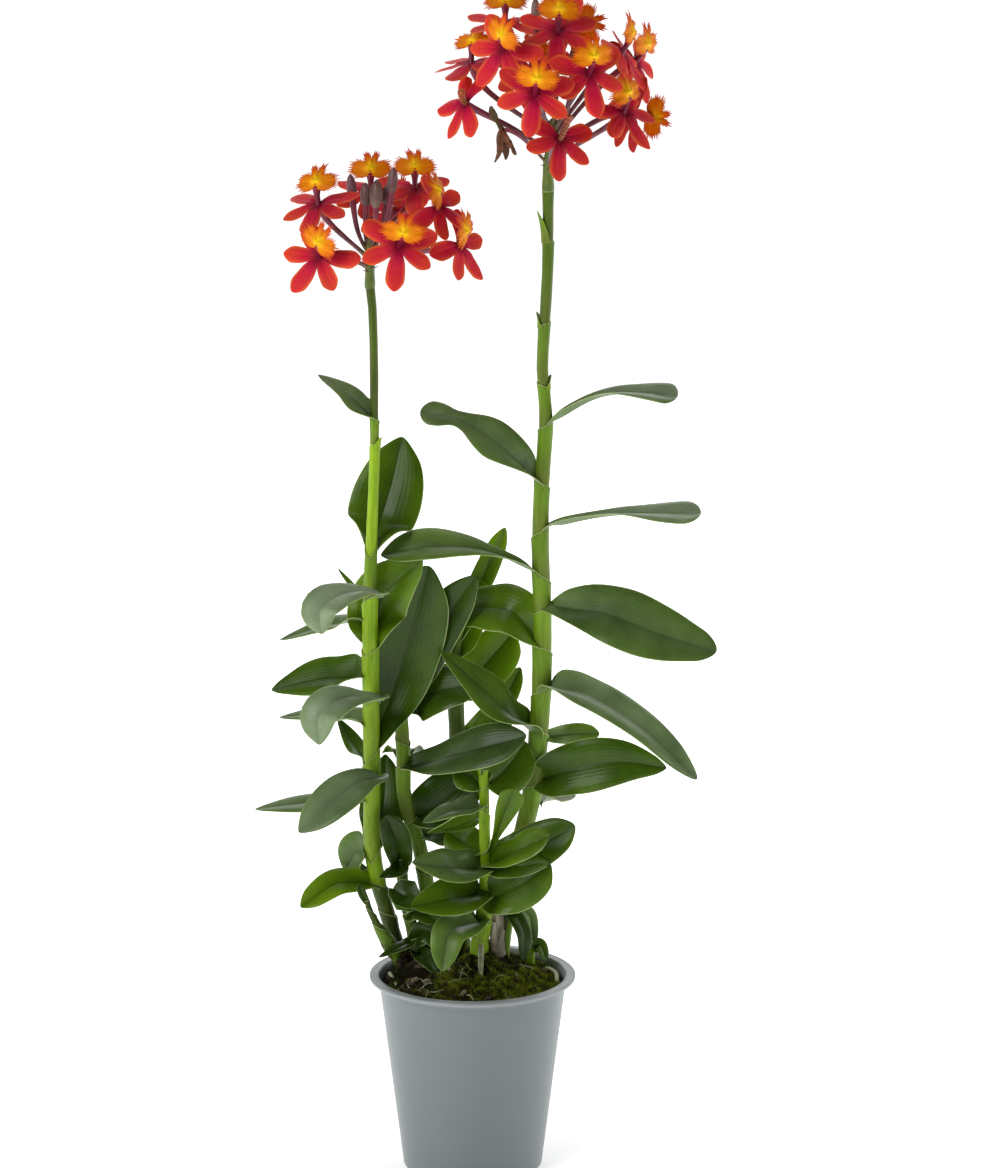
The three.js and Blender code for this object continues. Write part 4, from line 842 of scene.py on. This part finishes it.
def make_moss(material, leaflets=5):
    """Small mossy sprigs of pointed leaflets, thickest where the surface is green."""
    draw, x, y = scatter(count=9000, seed=21, margin=2)
    keep = draw.uniform(0, 1, len(x)) < 0.25 + 0.9 * mossiness(x, y)
    x, y = x[keep], y[keep]
    green, count, skin = mossiness(x, y), len(x), Skin()
    foot = np.column_stack([x, y, moss_height(x, y) - 0.35])
    tetra = np.array([(0, 1, 2), (0, 3, 1), (1, 3, 2), (2, 3, 0)])
    for _ in range(leaflets):
        turn, lean = draw.uniform(0, 2 * np.pi, count), draw.uniform(0.25, 1.25, count)
        length = (draw.uniform(1.0, 2.3, count) * (0.7 + 0.5 * green))[:, None]
        width = draw.uniform(0.28, 0.5, count)[:, None]
        out = heading(turn) * np.sin(lean)[:, None] + UP * np.cos(lean)[:, None]
        side = np.cross(UP, heading(turn))
        back = np.cross(side, out) * width * 0.7
        points = np.stack([foot + side * width, foot - side * width, foot + back, foot + out * length], 1)
        faces = (tetra[None] + 4 * np.arange(count)[:, None, None]).reshape(-1, 3)
        tone = green - 0.1 + 0.8 * noise2(x, y, cell=3.2, seed=31) + draw.normal(0, 0.18, count)
        tone = np.clip(tone, 0, 1)
        skin.add(points, faces.tolist(), tone=np.repeat(tone, 4), along=np.tile([0, 0, 0, 1.0], count))
    skin.build("moss", [material], "bark_and_moss", sharp=20)


def add_chip(skin, spot, size, turn, tip, seed, tone, rings=7, sides=9):
    """Rough chip: points on a squarish ball pushed about at random, tipped and turned."""
    polar = np.linspace(0.12, np.pi - 0.12, rings)[:, None, None]
    ball = heading(round_angles(sides)) * np.sin(polar) + UP * np.cos(polar)
    ball = np.sign(ball) * np.abs(ball)**0.75
    ball *= 1 + np.random.default_rng(seed).uniform(-0.16, 0.16, (rings, sides, 1))
    lump = ball[::-1] * np.array(size) / 2 * np.array([1, 1, -1])
    for c, s, axes in ((np.cos(tip), -np.sin(tip), (0, 2)), (np.cos(turn), -np.sin(turn), (0, 1))):
        rotate = np.eye(3)
        rotate[np.ix_(axes, axes)] = [[c, -s], [s, c]]
        lump = lump @ rotate
    add_rings(skin, lump + np.array([*spot, float(moss_height(*spot)) + 0.25]), tone=tone)


def make_bark(material):
    skin, margin, at_heap, big = Skin(), 4, 34, 20
    draw, x, y = scatter(count=70, seed=33, margin=margin)
    heap_x, heap_y = HEAPS[1][:2]
    x[:at_heap], y[:at_heap] = heap_x + draw.normal(0, 8, at_heap), heap_y - 4 + draw.normal(0, 7, at_heap)
    inside = np.hypot(x, y) < pot_inner(MIX["edge_top"]) - margin
    for k, spot in enumerate(zip(x[inside], y[inside])):
        size = np.array([draw.uniform(*span) for span in ((3, 7), (2, 4), (1.2, 2.4))])
        size *= 1.5 if k < big else 1
        add_chip(skin, spot, size, turn=draw.uniform(0, 2 * np.pi), tip=draw.normal(0, 0.4), seed=100 + k,
                 tone=max(draw.normal(-0.1, 0.15), 0))
    for k, (spot, size, turn, tone) in enumerate(CHIPS):
        add_chip(skin, spot, size, turn, tip=0.25, seed=501 + k, tone=tone)
    skin.build("bark_chips", [material], "bark_and_moss")


def make_rootlets(material, stations=7):
    """Thin dead rootlets that lie on the mix."""
    skin = Skin()
    draw, xs, ys = scatter(count=34, seed=57, margin=9)
    for x, y in zip(xs, ys):
        turn = draw.uniform(0, 2 * np.pi) + np.cumsum(draw.normal(0, 0.35, stations))
        step = draw.uniform(1.0, 2.4)
        x, y = x + np.cumsum(np.cos(turn)) * step, y + np.cumsum(np.sin(turn)) * step
        if np.hypot(x, y).max() < pot_inner(MIX["edge_top"]) - 3:
            z = moss_height(x, y) + 0.05 + 0.9 * np.sin(np.linspace(0, np.pi, stations))
            add_tube(skin, np.column_stack([x, y, z]), draw.uniform(0.2, 0.42), sides=6, along=0.5)
    skin.build("rootlets", [material], "root")


# ---------------------------------------------------------------- stems
class Stem:
    """Middle line and radius of one stem by height."""

    def __init__(self, data):
        self.radii = data["radii"]
        self.line = through(data["points"], np.linspace(0, 1, 401))
        self.low, self.high = data["points"][0][2], data["points"][-1][2]

    def centre(self, z):
        return at_height(self.line, z)

    def radius(self, z):
        return graph(self.radii, z)


def leaf_azimuth(stem, row):
    x, y = (np.asarray(row[1][0], float) - stem.centre(row[0]))[:2]
    return math.atan2(y, x)


# Share of the sheath's height, how far the wall stands off the stem, rise above that share, and the values
# along and edge.
SHEATH_ROWS = (
    (0, -SHEATH["neck"] - 0.2, -3, 0, 0), (0, -SHEATH["neck"], 0, 0, 0), (0.12, -0.2, 0, 0.1, 0),
    (0.35, 0, 0, 0.35, 0), (0.6, 0, 0, 0.6, 0), (0.85, 0.2, 0, 0.85, 0),
    (1, SHEATH["mouth"] - 0.05, -1.1, 0.97, 0), (1, SHEATH["mouth"], -0.45, 1, 0.8),
    (1, SHEATH["mouth"] - 0.1, 0, 1, 1), (1, SHEATH["mouth"] - SHEATH["wall"], -0.15, 1, 1),
    (1, -0.15, -3, 0.9, 0),
)


def add_sheath(skin, stem, low, high, azimuth, tone, drop):
    """One leaf's sheath: a sleeve whose mouth is high on the leaf's side and dips to a V opposite it."""
    angle = round_angles(SHEATH["sides"])
    apart = np.abs((angle - azimuth + np.pi) % (2 * np.pi) - np.pi) / np.pi
    mouth = high - drop * apart**1.25
    rings = []
    for share, stand, lift, _, edge in SHEATH_ROWS:
        z = low + (mouth - low) * share + lift
        radius = stem.radius(z) + stand + (0.2 * apart**3 if edge else 0)
        rings.append(stem.centre(z) + heading(angle) * radius[:, None])
    *_, along, edge = np.array(SHEATH_ROWS).T
    add_rings(skin, np.array(rings), along=along, edge=edge, tone=tone)


BLADE_ROWS = np.concatenate([np.linspace(0, 0.16, 8), np.linspace(0.19, 0.84, 17),
                             0.86 + 0.14 * round_off(9)])
BLADE_COLS = both_sides(0.035, 0.1, 0.25, 0.45, 0.66, 0.85, 0.965, 1)


def tip_cap(t, start):
    """Rounds a blade's end from start on."""
    return np.sqrt(np.maximum(1 - (np.maximum(t - start, 0) / (1 - start))**2, 0)) + 0.006


def add_leaf(skin, stem, row, tone, sheen_share, draw):
    """Leaf blade with a folded rib and wavy sides, whose foot clasps the stem over its sheath's mouth."""
    height, middle, tip, width, outline, face, tip_face = (*row, row[5])[:7]
    t, s = BLADE_ROWS[:, None], BLADE_COLS
    line = through([stem.centre(height - LEAF["seat"]), *middle, tip], BLADE_ROWS)
    tangent = unit(np.gradient(line, BLADE_ROWS, axis=0))
    facing = unit(face) * (1 - t) + unit(tip_face) * t
    facing = unit(facing - tangent * np.sum(facing * tangent, 1)[:, None])
    side = np.cross(tangent, facing)
    tip_start, widths = LEAF_OUTLINES[outline]
    half = width / 2 * profile(widths, BLADE_ROWS) * tip_cap(BLADE_ROWS, tip_start)
    gutter = 0.4 if outline == "hook" else 0.8
    gutter_end = 0.75 if outline == "spoon" else 0.4
    fold = 0.3 + gutter * smooth_step(1 - t / gutter_end) + draw.uniform(-0.05, 0.08)
    phase = draw.uniform(0, 2 * np.pi, 2)
    waves = np.where(s > 0, np.sin(9 * t + phase[0]), np.sin(8 * t + phase[1])) * np.abs(s)**1.5
    rise = fold * (np.sqrt(s**2 + 0.006) - 0.077) - 0.2 * smooth_step(t / 0.4) * s**4 + 0.035 * waves - 0.06
    rise = rise * half[:, None] - LEAF["rib"] * np.exp(-(s / 0.05)**2) * smooth_step((1 - t) / 0.2)
    blade = strip(line, side, half, s, facing, rise)
    azimuth, radius = leaf_azimuth(stem, row), stem.radius(height)
    sense = np.sign(side[0] @ heading(azimuth + np.pi / 2)) or 1.0
    around = azimuth + sense * np.radians(LEAF["clasp"]) * s
    stand = radius + SHEATH["mouth"] - 0.15 + 5 * t
    lift = height - 0.6 - 2.2 * radius * (np.abs(s) * LEAF["clasp"] / 180)**1.25 + 7 * t
    wrap = stem.centre(height) * LEVEL + heading(around) * stand[..., None] + UP * lift[..., None]
    cling = smooth_step(1 - t / LEAF["clasp_end"])[..., None]
    thickness = LEAF["thickness"] * (1 - 0.35 * s**2) * np.minimum(1, 0.4 + 3 * (1 - t))
    blade = wrap * cling + blade * (1 - cling)
    # The edge value carries the leaf's share of painted sheen.
    add_sheet(skin, blade, facing[:, None], thickness, slot=1, along=t, across=s, tone=tone, edge=sheen_share)


def add_bract(skin, stem, height, azimuth, length, tone):
    """Small pointed sheath tip that stands close along the stem."""
    t, s = np.linspace(0, 1, 12)[:, None], np.linspace(-1, 1, 9)
    azimuth, z = math.radians(azimuth), height - 4 + length * t
    around = azimuth + np.radians(95) * (1 - t)**0.8 * s
    radius = stem.radius(z) + SHEATH["mouth"] + 0.2 + 0.16 * length * t**2
    grid = stem.centre(z) + heading(around) * radius[..., None]
    add_sheet(skin, grid, heading(azimuth), 0.45 * np.maximum(1 - t, 0.4), tone=tone, along=t,
              edge=(t > 0.85) * 0.6)


def make_stem(name, data, materials):
    stem, skin, draw, leaves = Stem(data), Skin(), dice(name), LEAVES[name]
    core = np.linspace(stem.low, stem.high, 60)
    add_tube(skin, stem.centre(core), stem.radius(core) - SHEATH["neck"] - 0.25, sides=18, along=0.2,
             tone=graph(data["tones"], stem.high))
    azimuth, low, top = 0.0, stem.low + 5, stem.high - 0.3
    for high in [*data["joints"], top]:
        near = [row for row in leaves if high < top and abs(row[0] - high) < SHEATH["leaf_within"]]
        azimuth = leaf_azimuth(stem, near[0]) if near else azimuth + math.pi
        dip = graph(data.get("dips", [(0, SHEATH["dip"])]), high) if high < top else SHEATH["last_dip"]
        drop = min(dip, 0.7 * (high - low))
        add_sheath(skin, stem, low, high, azimuth, graph(data["tones"], high) + draw.normal(0, 0.1), drop)
        low = high - drop - 1.5
    for row in leaves:
        tone = data.get("leaf_tones", {}).get(row[0], data.get("leaf_tone", 0.0))
        tone += abs(draw.normal(0, 0.08))
        add_leaf(skin, stem, row, tone, data.get("painted_sheen", {}).get(row[0], 0.0), draw)
    for height, turn, length in data.get("bracts", ()):
        add_bract(skin, stem, height, turn, length, graph(data["tones"], height) + 0.3)
    skin.build(name + "_leafy", materials, "foliage", [name])


def make_old_stub(material):
    """Dry stub: a ribbed core with loose papery strips."""
    skin, draw = Skin(), np.random.default_rng(8)
    share, angle = np.linspace(0, 1, 30), round_angles(28)
    ribs = 0.35 * np.sin(angle * 7 + 1) + 0.2 * np.sin(angle * 13)
    radius = np.linspace(*STUB["radii"], len(share))[:, None] + ribs * (0.4 + share[:, None])
    add_tube(skin, through(STUB["points"], share), radius, len(angle), along=share)
    t, s = np.linspace(0, 1, 14), np.linspace(-1, 1, 7)
    for k, (turn, length) in enumerate(STUB["strips"]):
        out = heading(turn)
        stand = out * (4.3 - 0.4 * t + 2.6 * t**2)[:, None]
        line = through(STUB["points"], 0.45 + 0.5 * t * length / 30) + stand
        half = (2.4 + draw.uniform(-0.3, 0.3, len(t))) * (1 - 0.55 * t**2)
        add_sheet(skin, strip(line, np.cross(UP, out), half, s, -out, 0.35 * s**2), out, 0.3, tone=0.15 * k)
    skin.build("dry_stub", [material], "dried", ["old_stub"])


def make_root(name, points, radius, material):
    skin, t = Skin(), np.linspace(0, 1, 40)
    swell = radius * (1 + 0.1 * np.sin(11 * t) + dice(name).normal(0, 0.03, len(t)))
    add_tube(skin, through(points, t), swell, sides=14, along=t)
    skin.build(name + "_skin", [material], "root", [name])


# ---------------------------------------------------------------- flowers
TEPAL_ROWS = np.concatenate([np.linspace(0.05, 0.75, 13), 0.78 + 0.22 * round_off(8)])
TEPAL_COLS = both_sides(0.08, 0.3, 0.55, 0.78, 0.94, 1)


def flower_frame(pose):
    """Forward, up and right of a flower turned by yaw, pitch and roll."""
    yaw, pitch, roll = np.radians(pose)
    forward = np.array([math.cos(pitch) * math.sin(yaw), -math.cos(pitch) * math.cos(yaw), math.sin(pitch)])
    side = heading(yaw)
    top = np.cross(forward, side)
    return (forward, top * math.cos(roll) + side * math.sin(roll),
            side * math.cos(roll) - top * math.sin(roll))


def column_end(centre, axes):
    return centre + axes[0] * BLOOM["column_forward"] + axes[1] * BLOOM["column_up"]


def add_tepal(skin, centre, axes, tepal, draw):
    """One petal or sepal, a little twisted, bowed and curled."""
    angle, length, width, warm = tepal
    forward, up, right = axes
    angle = math.radians(angle + draw.uniform(-4, 4))
    out = right * math.cos(angle) + up * math.sin(angle)
    side = np.cross(forward, out)
    t, s = TEPAL_ROWS[:, None], TEPAL_COLS
    length *= draw.uniform(0.96, 1.02)
    half = width / 2 * profile(TEPAL_OUTLINE, TEPAL_ROWS) * tip_cap(TEPAL_ROWS, 0.72)
    twist = math.radians(draw.uniform(-14, 14)) * t**1.5
    across = side * np.cos(twist) + forward * np.sin(twist)
    lifted = forward * np.cos(twist) - side * np.sin(twist)
    bow = -BLOOM["bow"] * draw.uniform(0.6, 1.6) * t**2 + 0.9 * np.sin(np.pi * np.minimum(t / 0.5, 1))
    curl, phase = draw.uniform(-0.12, 0.3), draw.uniform(0, 6)
    rise = half[:, None] * s**2 * (0.05 * np.sin(7 * t + phase) * np.sign(s) - curl)
    rise = rise - 0.3 * np.exp(-(s / 0.12)**2) * smooth_step((1 - t) / 0.3)
    grid = strip(centre + out * length * t + forward * bow, across, half, s, lifted, rise)
    thickness = BLOOM["thickness"] * (1 - 0.4 * np.abs(s)) * np.minimum(1, 0.5 + 2.5 * (1 - t))
    tone = np.clip(warm + draw.normal(0, 0.1), 0, 1)
    add_sheet(skin, grid, forward, thickness, along=t, across=s, tone=tone)


def add_column(skin, centre, axes, bare):
    """Column with its anther cap; one that has lost its lip is longer and ribbed across."""
    forward, up, _ = axes
    reach = column_end(centre, axes) - centre
    t, cap = np.linspace(0, 1, 22), np.linspace(-1, 1, 8)
    arch = np.sin(np.pi * t)[:, None] * (forward - up) / 2
    line = centre - forward + (reach + forward) * t[:, None] + arch
    radius, edge, cap_edge = profile(COLUMN_RADII, t), 0.0, 0.75
    if bare:
        ribs = np.sin(46 * t)
        radius, edge, cap_edge = 1.5 + 0.5 * t + 0.28 * ribs, (1 + ribs) * 0.225, 0.25
        line = line + reach * (0.35 * t**2)[:, None] + up * (2.2 * t**2)[:, None]
    add_tube(skin, line, radius, sides=14, slot=1, along=t, edge=edge)
    dome = 1.5 * np.sqrt(np.maximum(1 - cap**2, 0.01))
    add_tube(skin, line[-1] + unit(reach) * (cap * 1.1)[:, None], dome, sides=12, slot=1, along=1.0,
             edge=cap_edge)


def make_bloom(name, node, flower, bare, materials, seed):
    skin, draw = Skin(), np.random.default_rng(seed)
    centre, axes = np.array(flower[0], float), flower_frame(flower[1])
    for tepal in TEPALS:
        add_tepal(skin, centre, axes, tepal, draw)
    add_column(skin, centre, axes, bare)
    skin.build(name, materials, "tepal", [node])


def fringe(angle, draw):
    """Irregular teeth round the lip, one value an angle."""
    edges = np.cumsum(draw.uniform(4.2, 7.6, 100))
    k = np.searchsorted(edges, angle) % len(edges)
    start = np.where(k > 0, edges[k - 1], 0)
    share = np.clip((angle - start) / (edges[k] - start), 0, 1)
    return draw.uniform(0.35, 1.0, len(edges))[k] * (1 - np.abs(2 * share - 1))


def there_and_back(rows):
    return np.concatenate([rows, rows[::-1]])


def make_lip(name, node, flower, material, seed):
    """Fringed plate of three lobes round a raised callus, on a short claw."""
    skin, draw = Skin(), np.random.default_rng(seed)
    centre, axes = np.array(flower[0], float), flower_frame(flower[1])
    forward, up, right = axes
    tilt = math.radians(LIP["tilt"])
    top = up * math.cos(tilt) + forward * math.sin(tilt)
    out = forward * math.cos(tilt) - up * math.sin(tilt)
    origin = column_end(centre, axes) + out * LIP["seat"] + top * LIP["rise"]
    angle = np.linspace(90, 450, LIP["sides"], endpoint=False)
    folded = np.where(angle <= 270, 180 - angle, angle - 360)
    radius = graph(LIP_HALF, folded)
    radius = (radius + np.roll(radius, 1) + np.roll(radius, -1)) / 3
    teeth = (4.6 * fringe(angle - 90, draw) - 1.4) * smooth_step((folded + 50) / 25)
    shares = np.array([0.05, 0.2, 0.36, 0.52, 0.68, 0.82, 0.92, 1.0])
    grown = np.array([0, 0, 0, 0, 0.1, 0.35, 0.65, 1.0])
    reach = shares[:, None] * radius + grown[:, None] * teeth
    x, y = reach * np.cos(np.radians(angle)), reach * np.sin(np.radians(angle))
    wave = draw.uniform(-0.5, 0.5, 2)
    height = (1.76 * np.exp(-((np.abs(x) - 1.5)**2 + (y - 0.6)**2) / 1.6)
              + 1.1 * np.exp(-(x / 0.7)**2) * smooth_step((y + 1) / 2) * smooth_step((8 - y) / 4)
              - 0.01 * x**2 - 0.012 * np.maximum(y, 0)**2
              + (x / 11)**2 * (2 * np.where(x > 0, *wave) + 0.5 * np.sin(1.1 * y + 6 * wave[0])))
    grid = origin + right * x[..., None] + top * y[..., None] + out * height[..., None]
    normal = unit(np.cross(np.roll(grid, -1, 1) - np.roll(grid, 1, 1), np.gradient(grid, axis=0)))
    normal = normal * np.sign(np.sum(normal * out))
    thick = LIP["thickness"] * np.linspace(1.3, 0.55, len(shares))[:, None, None] / 2
    shell = np.concatenate([grid + normal * thick, (grid - normal * thick)[::-1]])
    if np.sum(np.cross(shell[0, 1] - shell[0, 0], shell[1, 0] - shell[0, 0]) * out) < 0:
        shell = shell[:, ::-1]
    lobe = 0.85 * np.exp(-((90 - folded) / 36.0)**6) * np.clip(1.6 * shares - 0.55, 0, 1)[:, None]
    callus = np.exp(-(x**2 / 7 + (y - 1)**2 / 14))
    add_rings(skin, shell, along=there_and_back(shares), across=folded[None], tone=there_and_back(lobe),
              edge=there_and_back(callus))
    claw = origin - out * np.linspace(1.9, -0.1, 8)[:, None] - top * np.linspace(1.6, 0.3, 8)[:, None]
    add_tube(skin, claw, np.linspace(1.7, 1.2, 8), sides=12, along=0.5, tone=0.8)
    skin.build(name, [material], "lip", [node], sharp=70)


def add_pedicel(skin, start, end, arrive, radius, draw, swell=0.3):
    """Flower stalk: slim and green below, a ribbed red-brown ovary above, with a bract at its foot.

    It leaves the axis outwards and upwards, and reaches its end in the direction arrive.
    """
    t, angle = np.linspace(0, 1, 26)[:, None], round_angles(14)
    reach = np.linalg.norm(end - start)
    b = start + (unit((end - start) * LEVEL) + UP) * 0.7 * 0.35 * reach
    c = end - arrive * 0.3 * reach
    line = (1 - t)**3 * start + 3 * t * (1 - t)**2 * b + 3 * t**2 * (1 - t) * c + t**3 * end
    waist = 0.22 * np.sin(np.pi * np.minimum(2 * t, 1))
    radii = radius * (1.12 - waist + swell * smooth_step((t - 0.6) / 0.3))
    ribs = 1 + 0.07 * np.cos(3 * angle + 1.5 * t) * smooth_step((t - 0.3) / 0.4)
    add_tube(skin, line, radii * ribs, len(angle), along=t)
    out = unit((line[3] - line[0]) * LEVEL)
    u, s = np.linspace(0, 1, 8), np.linspace(-1, 1, 7)
    foot = start + (out - UP) * 1.6 + (out * 0.75 + UP * 0.45) * (draw.uniform(3.2, 5) * u)[:, None]
    bract = strip(foot, np.cross(UP, out), 1.7 * (1 - u)**0.7 + 0.04, s, UP, 0.5 * s**2 * (1 - u[:, None]))
    add_sheet(skin, bract, -UP, 0.3, along=0.2, tone=0.3)


def add_bud(skin, start, centre, size, draw):
    """Unopened flower on its stalk: three sepals meet in shallow seams and a blunt point."""
    radius, half_length = size
    away = np.array(centre, float) - start
    along = unit(away * LEVEL * 0.35 + UP * np.linalg.norm(away))
    foot = centre - along * half_length
    add_pedicel(skin, start, foot + along * 2, along, PEDICEL["bud_radius"], draw, swell=0.25)
    t, angle = np.concatenate([np.linspace(0, 0.85, 16), 0.87 + 0.13 * round_off(7)]), round_angles(30)
    seam = np.exp(-(np.sin(1.5 * angle + draw.uniform(0, 3)) / 0.22)**2)
    grid = (radius * profile(BUD_OUTLINE, t) * tip_cap(t, 0.85))[:, None] * (1 - 0.07 * seam)
    add_tube(skin, foot + along * (2 * half_length * t)[:, None], grid, len(angle), slot=1, along=t,
             tone=draw.uniform(0, 0.5), edge=0.6 * seam[None])


def make_spray(name, head, materials):
    """Axis of a flower head with every pedicel and bud on it."""
    skin, draw = Skin(), dice(name)
    line = through(head["axis"], np.linspace(0, 1, 40))
    radius = np.linspace(*head["radii"], len(line)) * (1 + 0.05 * np.sin(np.linspace(0, 20, len(line))))
    radius[-1] *= 0.6
    tone = 0.95 * smooth_step(np.linspace(1.25, 0.1, len(line)))
    add_tube(skin, line, radius, sides=20, along=0.1, tone=tone)
    for centre, pose, leaves_at in head["flowers"]:
        forward = flower_frame(pose)[0]
        end = centre - forward * (BLOOM["back"] - 0.4)
        add_pedicel(skin, at_height(line, leaves_at), end, forward, PEDICEL["radius"], draw)
    for centre, leaves_at, size in head["buds"]:
        add_bud(skin, at_height(line, leaves_at), centre, size, draw)
    if name.startswith("tall"):
        arrive = unit(WITHERED["arrive"])
        add_pedicel(skin, at_height(line, WITHERED["leaves_at"]), WITHERED["hub"] - arrive * 1.2, arrive,
                    PEDICEL["withered_radius"], draw, swell=0.0)
    skin.build(name + "_stalks", materials, "pedicel", [name])


def make_withered(material):
    """Dead flower: a shrivelled ovary above and twisted dry tepals hanging below."""
    skin, draw = Skin(), np.random.default_rng(5)
    hub, ovary = np.array(WITHERED["hub"], float), np.array(WITHERED["ovary"], float)
    t, s, angle = np.linspace(0, 1, 20)[:, None], np.linspace(-1, 1, 9), round_angles(16)
    crumple = 1 + 0.16 * np.sin(3 * angle + 5 * t) + 0.1 * np.sin(7 * angle - 9 * t)
    line = hub + (ovary - hub) * t + np.sin(np.pi * t) * np.array([-1, 0, 0])
    add_tube(skin, line, profile(WITHERED["radii"], t) * crumple, len(angle), along=t, tone=0.7)
    half = 2.3 * np.sin(np.pi * np.clip(0.12 + 0.86 * t, 0, 1))**0.7 + 0.1
    rise = (0.55 * s**2 + 0.25 * np.sin(6 * s + 8 * t)) * half
    for tip in WITHERED["tips"]:
        line = through([hub, hub + (tip - hub) * 0.55 + np.array([0.8, -0.6, 0]), tip], t[:, 0])
        tangent, side, top = line_frames(line)
        twist = draw.uniform(0, 3) + 2.6 * t
        across = side * np.cos(twist) + top * np.sin(twist)
        lifted = np.cross(tangent, across)
        add_sheet(skin, strip(line, across, half[:, 0], s, lifted, rise), lifted[:, None], 0.5,
                  tone=draw.uniform(0, 0.25))
    skin.build("withered_flower", [material], "dried", ["withered_bloom"])


# ---------------------------------------------------------------- stage
FLOOR_REACH = 30
# Strength, its rise towards the back and the top, its level ahead and the least that is left.
WORLD = dict(light=1.4, to_back=0.5, to_top=0.35, level=0.35, least=0.15)
LAMP_AIM = (0, 0, 0.35)
# Place, width and height in metres, power in watts.
LAMPS = {
    "key_left": ((-1.2, -1.5, 1.5), (0.8, 1.2), 22),
    "strip_left": ((-1.9, -0.3, 0.7), (0.5, 1.6), 8),
    "strip_right": ((1.8, 0.3, 0.7), (0.6, 1.8), 16),
    "top": ((0, 0.6, 2.6), (1.6, 1.0), 11),
    "back": ((0.1, 2.2, 1.6), (3.2, 1.8), 31),
}
# Place in metres, pitch in degrees below level, image in pixels.
CAMERA = dict(place=(0.016, -2.4, 0.853), pitch=11.92, focal_pixels=4293, image=(1000, 1168), sensor=36)


def make_floor():
    """Pale sweep that glows with painted light, dimmer near the pot and brighter away from it."""
    mesh, r = bpy.data.meshes.new("floor"), FLOOR_REACH
    mesh.from_pydata([(-r, -r, 0), (r, -r, 0), (r, r, 0), (-r, r, 0)], [], [(0, 1, 2, 3)])
    f = Finish("floor_white", 0.9, 0.1)
    f.colour = f.mottle(f.noise(3, 2), (0.85, 0.85, 0.85), (0.87, 0.87, 0.87))
    distance = f.node("VectorMath", 1, {0: f.node("TexCoord", "Object")}, operation="LENGTH")
    # Painted light: the floor glows, more the farther it is from the pot, which washes out cast shadows.
    f.set(Emission_Color=(1, 1, 1), Emission_Strength=f.remap(distance, 0.05, 0.5, 0.5, 1.05))
    mesh.materials.append(f.done())
    put("floor", mesh)


def make_world():
    """Studio surround: bright overhead and behind, dim on the viewer's side."""
    world = bpy.data.worlds.new("studio")
    bpy.context.scene.world = world
    world.use_nodes = True
    tree = Tree(world.node_tree)
    y, z = (tree.node("SeparateXYZ", axis, {0: tree.node("TexCoord", "Generated")}) for axis in "YZ")
    level = tree.calc("MULTIPLY_ADD", y, WORLD["to_back"], WORLD["level"])
    level = tree.calc("MAXIMUM", tree.calc("MULTIPLY_ADD", z, WORLD["to_top"], level), WORLD["least"])
    strength = tree.calc("MULTIPLY", level, WORLD["light"])
    tree.link(strength, world.node_tree.nodes["Background"].inputs["Strength"])


def make_lamps():
    for name, (at, size, power) in LAMPS.items():
        lamp = bpy.data.lights.new(name, "AREA")
        lamp.shape, lamp.size, lamp.size_y, lamp.energy = "RECTANGLE", *size, power
        body = put(name, lamp)
        body.location = at
        body.rotation_euler = (Vector(LAMP_AIM) - Vector(at)).to_track_quat("-Z", "Y").to_euler()


def make_camera():
    camera = bpy.data.cameras.new("camera")
    camera.sensor_fit, camera.sensor_width = "AUTO", CAMERA["sensor"]
    camera.lens = CAMERA["sensor"] * CAMERA["focal_pixels"] / max(CAMERA["image"])
    body = put("camera", camera)
    body.location = CAMERA["place"]
    body.rotation_euler = (math.radians(90 - CAMERA["pitch"]), 0, 0)
    bpy.context.scene.camera = body


# ---------------------------------------------------------------- the whole plant
make_camera()
make_floor()
make_world()
make_lamps()
bpy.context.scene.view_settings.view_transform = "Standard"

make_pot(pot_material())
moss = moss_material()
root = root_material()
make_mix(soil_material())
make_moss(moss)
make_bark(bark_material())
make_rootlets(root)
for root_name, (root_points, root_radius) in ROOTS.items():
    make_root(root_name, root_points, root_radius, root)
make_old_stub(dry_material())
foliage = [cane_material(), leaf_material()]
for stem_name, stem_data in STEMS.items():
    make_stem(stem_name, stem_data, foliage)
tepal_materials = [tepal_material(), column_material()]
lip = lip_material()
stalks = [pedicel_material(), bud_material()]
for head_name, head_data in HEADS.items():
    make_spray(head_name + "_spray", head_data, stalks)
    for index, one in enumerate(head_data["flowers"], 1):
        bare_column = index in head_data["no_lip"]
        tag, seed = f"{index:02d}", HEAD_SEED * len(head_name) + index
        make_bloom(f"{head_name}_flower_{tag}", f"{head_name}_bloom_{tag}", one, bare_column,
                   tepal_materials, BLOOM["seed"] + seed)
        if not bare_column:
            make_lip(f"{head_name}_fringed_lip_{tag}", f"{head_name}_lip_{tag}", one, lip,
                     LIP["seed"] + seed)
make_withered(withered_material())
